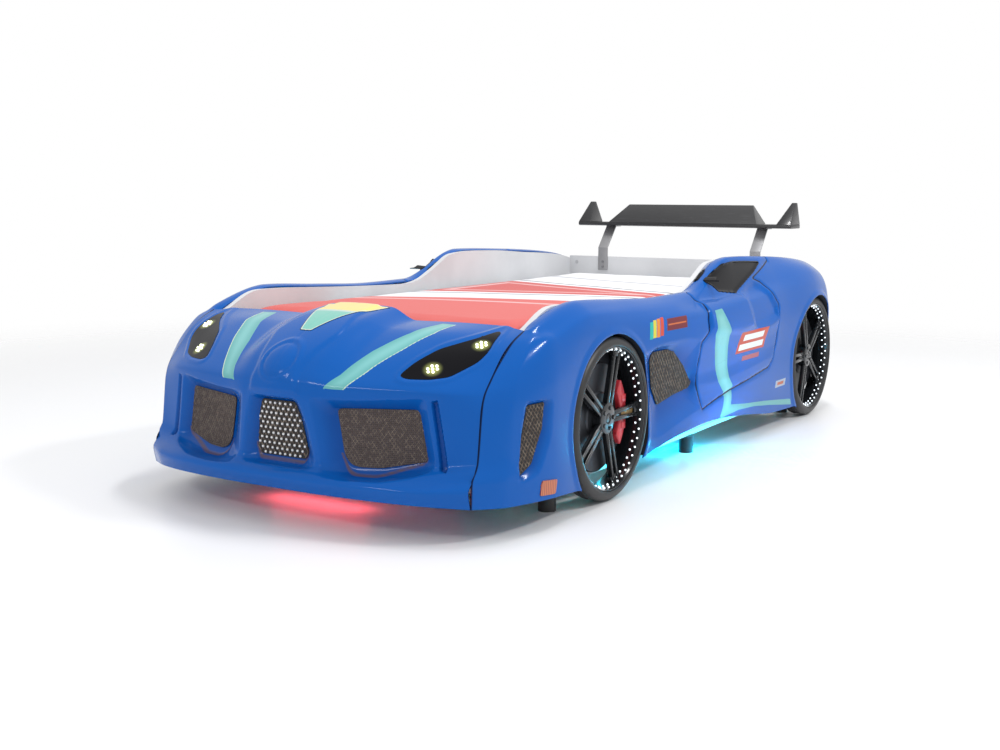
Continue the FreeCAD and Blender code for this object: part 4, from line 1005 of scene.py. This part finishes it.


# the dark inside of an arch: a half drum from the board out to the shell, and its back, painted near-black as
# the shade inside the arch
def wheelWell(axle, name):
    height, radius = bed["axleHeight"], bed["arch"] + well["gap"]
    lowest = math.asin((bed["sill"] + well["rise"] - height) / radius)
    angles = np.linspace(lowest, math.pi - lowest, well["steps"])
    inner, depths = bed["boardFace"] + 2, (0, 0.25, 0.5, 0.75, 1)
    felt = radius + well["feel"]
    points, faces = [], []
    for angle in angles:
        y, z = axle + radius * math.cos(angle), height + radius * math.sin(angle)
        beyond = (axle + felt * math.cos(angle), height + felt * math.sin(angle))
        hit = sideTarget.ray_cast(*fromSide(beyond))[0]
        outer = hit.x / mm - well["behind"] if hit else well["reach"]
        points += [(inner + (outer - inner) * share, y, z) for share in depths]
    count = len(depths)
    for i in range(len(angles) - 1):
        for j in range(count - 1):
            a = i * count + j
            faces.append((a, a + 1, a + count + 1, a + count))
    middle = len(points)
    points.append((inner, axle, height))
    for i in range(len(angles) - 1):
        faces.append((i * count, (i + 1) * count, middle))
    faces.append(((len(angles) - 1) * count, 0, middle))
    item = cleaned(meshed(name, np.array(points) * mm, faces, linerPaint.material))
    leftAndRight(walled(item, well["wall"]), name, "body_shell")


wheelWell(frontAxle, "left_frontWell")
wheelWell(rearAxle, "left_rearWell")


print("stage: wheels")


# a turned form about the X axis, through its profile of (x, radius) in millimetres
def turnedForm(name, profile, material, count=96, closed=True):
    profile = np.array(profile, float)
    angles = 2 * math.pi * np.arange(count) / count
    points = [(x, r * math.cos(a), r * math.sin(a)) for a in angles for x, r in profile]
    tall = len(profile)
    faces = []
    for i in range(count):
        for j in range(tall if closed else tall - 1):
            a, b = i * tall + j, i * tall + (j + 1) % tall
            c, d = (i + 1) % count * tall + (j + 1) % tall, (i + 1) % count * tall + j
            faces.append((a, b, c, d))
    item = cleaned(meshed(name, np.array(points) * mm, faces, material), 0.00001)
    item.data.polygons.foreach_set("use_smooth", [True] * len(item.data.polygons))
    item.data.set_sharp_from_angle(angle=math.radians(35))
    return item


# a bar standing on an outline in Y and Z, its face at one X and its back at another
def bar(name, outline, back, face, material, bevel=1.5):
    count = len(outline)
    points = [(back, y, z) for y, z in outline] + [(face, y, z) for y, z in outline]
    faces = [tuple(range(count))[::-1], tuple(range(count, 2 * count))]
    faces += [(i, (i + 1) % count, count + (i + 1) % count, count + i) for i in range(count)]
    return bevelled(cleaned(meshed(name, np.array(points) * mm, faces, material)), bevel)


wheel = {  # profiles as (distance from the middle of the car, radius)
    "tyre": [(500, 182), (498, 190), (499, 198), (504, 203.5), (512, 205.6), (518, 205.9), (519, 203.5),
             (523, 203.5), (524, 206), (535, 206), (536, 203.5), (540, 203.5), (541, 205.8), (547, 205.2),
             (553, 202), (557.5, 196), (559.6, 189), (559.6, 186), (558.6, 185.4), (558.4, 183.6),
             (557.4, 182), (554, 181.4)],
    "barrel": [(498, 179), (498, 182), (552, 182.2), (555.5, 181.4), (556.5, 179.6), (556, 177.8),
               (552, 176.2), (546, 174.4), (534, 173), (510, 172), (498, 174)],
    "hub": [(513, 8), (513, 40), (536, 40), (540.5, 38.5), (542, 35), (542, 14), (539, 12), (538, 8)],
    "cap": [(528, 0), (528, 11), (538.5, 11), (540.5, 9.5), (541, 6), (541.4, 0)],
    "disc": [(503, 20), (503, 136), (505, 138), (511, 138), (513, 136), (513, 66), (516, 62), (516, 20)],
    "nut": [(538, 0), (538, 6), (544, 6), (545.4, 4.8), (545.6, 0)], "nutCircle": 27, "copies": 5,
    "spokeBack": 525, "spokeFace": 540, "spread": 25, "tip": 8, "barWidth": 11, "root": 24, "reach": 176,
    "webFace": 537, "footFace": 538, "insertFace": 533, "insert": [(88, -6), (88, 6), (156, 13), (156, -13)],
    "dots": 44, "dotRows": [(536, 171.2, 0), (547, 173.2, 0.4)], "dotRadius": 0.0026,
}


# one twin spoke: two bars, the web near the hub and the foot on the rim
def spokeBars(name):
    reach, root = wheel["reach"], wheel["root"]
    lean = wheel["spread"] / 2
    half = wheel["barWidth"] / 2
    bars = []
    for sign in (-1, 1):
        inner, outer = sign * wheel["tip"], sign * lean
        outline = [(root, inner - half - 1), (root, inner + half + 1), (reach, outer + half - 1),
                   (reach, outer - half + 1)]
        bars.append(bar(name + "Bar", outline, wheel["spokeBack"], wheel["spokeFace"], rimPaint.material))
    web = [(root, -wheel["tip"]), (root, wheel["tip"]), (78, 9), (84, 0), (78, -9)]
    bars.append(bar(name + "Web", web, wheel["spokeBack"], wheel["webFace"], rimPaint.material))
    foot = [(158, -lean - 5), (158, lean + 5), (reach, lean + 9), (reach, -lean - 9)]
    bars.append(bar(name + "Foot", foot, wheel["spokeBack"], wheel["footFace"], rimPaint.material))
    return joined(bars, name)


# the four pieces of a wheel at one axle, on both sides
def wheelParts(axle, gold):
    end = "front" if axle == frontAxle else "rear"
    turn = 0 if axle == frontAxle else 180
    flip = Matrix.Rotation(math.radians(turn), 4, "X")
    move = Matrix.Translation((bed["wheelStep"][end] * mm, axle * mm, bed["axleHeight"] * mm)) @ flip
    tyre = turnedForm("left_tyre", wheel["tyre"], rubber.material, 128)
    star = copiesRound.run(spokeBars("spoke"), Copies=wheel["copies"], Finish=rimPaint.material)
    nut = turnedForm("nut", wheel["nut"], rimPaint.material, 6)
    nut.data.transform(Matrix.Translation((0, wheel["nutCircle"] * mm, 0)))
    nuts = copiesRound.run(nut, Copies=wheel["copies"], Finish=rimPaint.material)
    rim = joined([turnedForm("barrel", wheel["barrel"], rimPaint.material, 128),
                  turnedForm("hub", wheel["hub"], rimPaint.material, 64),
                  turnedForm("hubCap", wheel["cap"], rimPaint.material, 48, closed=False),
                  star, nuts], "left_rim")
    if gold:
        wedge = bar("insert", wheel["insert"], wheel["spokeBack"] - 1, wheel["insertFace"],
                    goldPaint.material, 1)
        rim = joined([rim, wedge], "left_rim")
    disc = turnedForm("left_disc", wheel["disc"], discPaint.material, 96)
    dots = []
    for i in range(wheel["dots"]):
        for x, radius, lag in wheel["dotRows"]:
            a = 2 * math.pi * (i + 0.5 + lag) / wheel["dots"]
            dots.append((x * mm, radius * mm * math.cos(a), radius * mm * math.sin(a)))
    dots = beads.run(meshed("dots", dots, []), Radius=wheel["dotRadius"], Finish=dotPaint.material)
    dots.name = "left_dots"
    for item, slotName, node in ((tyre, "tyre", "tyre"), (rim, "rim", "rim"),
                                 (disc, "brake_disc", "brake_disc"), (dots, "led", "led_ring")):
        item.data.transform(move)
        name = end + "_" + item.name.split(".")[0]
        item.name = name
        leftAndRight(item, name, slotName, end + "_left_" + node)


wheelParts(frontAxle, True)
wheelParts(rearAxle, False)

caliper = {
    "inner": 97, "outer": 131, "half": 40, "back": 500, "face": 526,
    "ribs": (-34, 0, 34), "rib": [(104, -9), (104, 9), (126, 11), (126, -11)],
}
items = []
for axle, heading, end in ((frontAxle, 0, "front"), (rearAxle, math.pi, "rear")):
    arc = np.linspace(-math.radians(caliper["half"]), math.radians(caliper["half"]), 13)
    outline = [(caliper["outer"] * math.cos(a), caliper["outer"] * math.sin(a)) for a in arc]
    outline += [(caliper["inner"] * math.cos(a), caliper["inner"] * math.sin(a)) for a in arc[::-1] * 0.86]
    body = bar("caliper", outline, caliper["back"], caliper["face"], redPaint.material, 3)
    ribs = [bar("rib", [(y, z + at) for y, z in caliper["rib"]], caliper["face"] - 2, caliper["face"] + 1.5,
                redPaint.material, 1) for at in caliper["ribs"]]
    body = joined([body] + ribs, "caliperBody")
    move = Matrix.Translation((bed["wheelStep"][end] * mm, axle * mm, bed["axleHeight"] * mm))
    body.data.transform(move @ Matrix.Rotation(heading, 4, "X"))
    items += [body, mirroredCopy(body, "otherCaliper")]
standsFor(joined(items, "calipers"), "bed", "brake_caliper", "brake_calipers")

print("stage: spoiler and frame")

glossBlack = Paint("glossBlack", (0.010, 0.010, 0.012), Coat_Weight=0.3)
spot, _ = glossBlack.place()
scratch = glossBlack.noise(glossBlack.node("Mapping", Vector=spot, Scale=(3, 60, 60)).outputs[0], 6.0, 4.0)
tone = glossBlack.over(scratch.ramp(0.55, 0.8), (0.009, 0.009, 0.011), (0.035, 0.036, 0.04))
glossBlack.link(tone, "Base Color")
glossBlack.link(scratch * 0.25 + 0.2, "Roughness")

steel = grainy("steel", (0.30, 0.30, 0.31), 120, 3, 0.2, 0.34, Metallic=0.55)
screwPaint = grainy("screwPaint", (0.22, 0.22, 0.23), 300, 2, 0.2, 0.25, Metallic=0.8)
laminate = mottled("laminate", 0.38, 5, 4, (0.35, 0.7), (0.58, 0.59, 0.61), (0.65, 0.66, 0.68))
laminate.bump(laminate.noise(laminate.place()[0], 500.0, 2.0), 0.05, 0.0005)
plainBlack = grainy("plainBlack", (0.016, 0.016, 0.018), 200, 2, 0.2, 0.4)
greyCap = grainy("greyCap", (0.45, 0.46, 0.48), 200, 2, 0.2, 0.3)
cyanStrip = grainy("cyanStrip", (0.3, 0.95, 1.0), 80, 1, 0.2, 0.3, Emission_Color=(0.05, 0.75, 1.0, 1),
                   Emission_Strength=4.0)
pinkStrip = grainy("pinkStrip", (1.0, 0.4, 0.5), 80, 1, 0.2, 0.3, Emission_Color=(1.0, 0.12, 0.22, 1),
                   Emission_Strength=2.0)


# sawn wood, its grain drawn out along one axis
def wood(name, roughness, stretch, light, dark, relief=0):
    paint = Paint(name, light, roughness)
    spot, _ = paint.place()
    rings = paint.noise(paint.node("Mapping", Vector=spot, Scale=stretch).outputs[0], 3.0, 5.0, 0.6)
    paint.link(paint.over(rings.ramp(0.35, 0.7), light, dark), "Base Color")
    return paint.bump(rings, relief, 0.001) if relief else paint


pine = wood("pine", 0.55, (2.5, 30, 30), (0.66, 0.48, 0.27), (0.46, 0.29, 0.14), 0.2)
rail = wood("rail", 0.6, (30, 2.5, 30), (0.58, 0.45, 0.30), (0.42, 0.29, 0.16))

for nodes, width, paint, slotName in (
        (["spoiler_wing", "spoiler_ramp", "left_endplate", "right_endplate"], 2, glossBlack, "gloss_black"),
        (["left_spoiler_bracket", "right_spoiler_bracket"], 0.8, steel, "bracket_steel"),
        (["light_controller"], 4, plainBlack, "black_plastic")):
    for node in nodes:
        standsFor(softened(node, width, paint.material), "bed", slotName, node)

plainNodes = {
    laminate: ["left_side_board", "right_side_board", "headboard", "footboard"],
    pine: ["slats"],
    rail: ["left_slat_rail", "right_slat_rail", "centre_beam", "centre_legs", "wheel_mounts"],
    plainBlack: ["feet"],
    greyCap: ["headboard_caps"],
    screwPaint: ["board_bolts", "bracket_screws"],
    cyanStrip: ["left_light_strip", "right_light_strip"],
    pinkStrip: ["front_light_strip"],
}
for paint, names in plainNodes.items():
    for name in names:
        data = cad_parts[name].data
        data.materials.clear()
        data.materials.append(paint.material)


print("stage: mattress")

pillow = {  # inset in millimetres, the rest in metres
    "inset": 6, "edge": 0.035, "voxel": 0.013, "pressure": 4.0,
    "swell": 0.016, "below": 0.004, "above": 0.006,
}
printed = {"salmon": (0.62, 0.088, 0.078), "deep": (0.55, 0.065, 0.06), "pale": (0.72, 0.42, 0.42),
           "line": (0.20, 0.21, 0.25), "grey": (0.50, 0.51, 0.55)}


# the cover's print: white, with a salmon field at the nose and a wide band across the middle
def coverPaint():
    paint = Paint("mattressCover", (0.82, 0.82, 0.84), 0.72, Sheen_Weight=0.15)
    spot, (x, y, z) = paint.place()
    drift = paint.noise(spot, 1.6, 2.0) - 0.5
    tone = paint.over(drift.ramp(-0.1, 0.14), (0.76, 0.77, 0.80), (0.86, 0.86, 0.88))
    wave = drift * 0.06
    field = y - (x * 0.30 + x * x * -0.35 - 0.235) + wave
    low = x * 0.25 + x * x * -0.2 - y + wave
    high = y + x * 0.35 - 0.32 + wave
    middle = low.most(high).most(-0.38 - x)
    tone = paint.over((middle - 0.05).size().under(0.011, 0.004), tone, printed["line"])
    tone = paint.over(middle.under(0, 0.004), tone, printed["deep"])
    tone = paint.over((middle + 0.075).size().under(0.012, 0.006), tone, printed["pale"])
    tone = paint.over((high - 0.30).size().under(0.02, 0.006), tone, printed["grey"])
    tone = paint.over(field.under(0, 0.004), tone, printed["salmon"])
    tone = paint.over((field + 0.10 + x * 0.12).size().under(0.014, 0.008), tone, printed["pale"])
    paint.link(tone, "Base Color")
    weave = (x * 2600).maths("SINE") * (y * 2600).maths("SINE") * 0.15 + paint.noise(spot, 30.0, 3.0)
    paint.bump(weave, 0.25, 0.0012)
    return paint


low, high = (np.array(corner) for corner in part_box("mattress"))


# a box with soft edges, a little smaller than the solid, in small even faces
def mattressShape():
    inset = pillow["inset"] * mm
    size = (high - low) / 2 - (inset, inset, inset * 0.6)
    middle = (high + low) / 2
    work = bmesh.new()
    bmesh.ops.create_cube(work, size=2)
    for vert in work.verts:
        vert.co = Vector(np.array(vert.co) * size + middle)
    bmesh.ops.bevel(work, geom=work.edges[:], offset=pillow["edge"], segments=5, affect="EDGES", profile=0.5)
    data = bpy.data.meshes.new("mattressPad")
    work.to_mesh(data)
    work.free()
    item = placed("mattressPad", data)
    remesh = item.modifiers.new("Grid", "REMESH")
    remesh.mode = "VOXEL"
    remesh.voxel_size = pillow["voxel"]
    remesh.use_smooth_shade = True
    return applied(item, 0)


pad = mattressShape()
pad.data.materials.clear()
pad.data.materials.append(coverPaint().material)
cloth = pad.modifiers.new("Cloth", "CLOTH")
for name, value in {
        "quality": 6, "mass": 0.3, "tension_stiffness": 30, "compression_stiffness": 30,
        "shear_stiffness": 8, "bending_stiffness": 0.6, "use_pressure": True,
        "uniform_pressure_force": pillow["pressure"]}.items():
    setattr(cloth.settings, name, value)
cloth.settings.effector_weights.gravity = 0
cloth.point_cache.frame_start = 1
cloth.point_cache.frame_end = 20
before = np.array([v.co for v in pad.data.vertices])
for number in range(1, 21):
    bpy.context.scene.frame_set(number)
evaluated = pad.evaluated_get(bpy.context.evaluated_depsgraph_get())
after = np.array([v.co for v in evaluated.data.vertices])
pad.modifiers.clear()
bpy.context.scene.frame_set(1)
shift = after - before
length = np.linalg.norm(shift, axis=1)[:, None]
shift *= np.minimum(1, pillow["swell"] / np.maximum(length, 1e-9))
settled = np.clip(before + shift, low - pillow["below"], high + pillow["above"])
pad.data.vertices.foreach_set("co", settled.astype(np.float32).ravel())
print("mattress moved by up to", float(np.linalg.norm(shift, axis=1).max()))
smoother = pad.modifiers.new("Soft", "SUBSURF")
smoother.levels = smoother.render_levels = 1
applied(pad, 0)
standsFor(pad, "mattress", "mattress_cover", "mattress")


print("stage: studio")

studio = {  # metres; the camera's place and aim fit the view of the bed from its front corner
    "camera": (1.9354, -3.338, 0.7591), "azimuth": 31.5907, "pitch": 8.1214, "roll": 0.22, "lens": 45.6,
    "floorReach": 9, "fade": (1.9, 4.6), "skyOnBody": 0.8, "skySeen": 1.0,
    "middle": (0, 0, 0.3), "cyan": (0.0, 0.62, 1.0), "red": (1.0, 0.10, 0.12),
}
floorPaint = Paint("floorPaint", (0.88, 0.885, 0.90), 0.42)
spot, (x, y, _) = floorPaint.place()
floorPaint.link(1 - (x * x + (y * y)).maths("SQRT").ramp(*studio["fade"]), "Alpha")
floorPaint.link(floorPaint.noise(spot, 3.0, 2.0) * 0.06 + 0.38, "Roughness")
reach = studio["floorReach"]
ground = meshed("ground", [(-reach, -reach, 0), (reach, -reach, 0), (reach, reach, 0), (-reach, reach, 0)],
                [(0, 1, 2, 3)], floorPaint.material, smooth=False)

world = bpy.data.worlds.new("studioWorld")
world.use_nodes = True
bpy.context.scene.world = world
nodes, links = world.node_tree.nodes, world.node_tree.links
sky = nodes["Background"]
sky.inputs["Color"].default_value = (1.0, 1.0, 1.0, 1)
lightPath = nodes.new("ShaderNodeLightPath")
brightness = nodes.new("ShaderNodeMapRange")
brightness.inputs["To Min"].default_value = studio["skyOnBody"]
brightness.inputs["To Max"].default_value = studio["skySeen"]
links.new(lightPath.outputs["Is Camera Ray"], brightness.inputs["Value"])
links.new(brightness.outputs["Result"], sky.inputs["Strength"])


# a soft lamp at a place, turned to a target; size is width and height, power in watts
def areaLight(name, place, target, size, power, colour=(1, 1, 1)):
    data = bpy.data.lights.new(name, "AREA")
    data.shape = "RECTANGLE"
    data.size, data.size_y = size
    data.energy = power
    data.color = colour
    item = placed(name, data)
    item.location = place
    item.rotation_euler = (Vector(target) - Vector(place)).to_track_quat("-Z", "Y").to_euler()


areaLight("softbox", (3.6, 0.4, 3.4), studio["middle"], (1.0, 0.3), 75)
areaLight("overhead", (0.6, 0.4, 4.2), studio["middle"], (1.5, 0.35), 65)
areaLight("frontFill", (-0.6, -4.4, 2.6), (0, -0.8, 0.3), (1.2, 0.5), 30)
for sign in (-1, 1):
    sill = sign * 0.50
    aim = (sill + sign * 0.005, 0.14, 0)
    areaLight("sillGlow", (sill, 0.14, 0.045), aim, (0.05, 0.95), 5, studio["cyan"])
areaLight("noseGlow", (-0.05, -0.96, 0.05), (-0.05, -0.97, 0), (0.30, 0.04), 0.22, studio["red"])

lens = bpy.data.cameras.new("camera")
lens.lens = studio["lens"]
lens.sensor_width = 36
camera = placed("camera", lens)
camera.location = studio["camera"]
camera.rotation_mode = "XYZ"
aim = Matrix.Rotation(math.radians(studio["azimuth"]), 4, "Z") @ Matrix.Rotation(
    math.radians(90 - studio["pitch"]), 4, "X") @ Matrix.Rotation(math.radians(studio["roll"]), 4, "Z")
camera.rotation_euler = aim.to_euler()
bpy.context.scene.camera = camera
bpy.context.scene.view_settings.view_transform = "Standard"
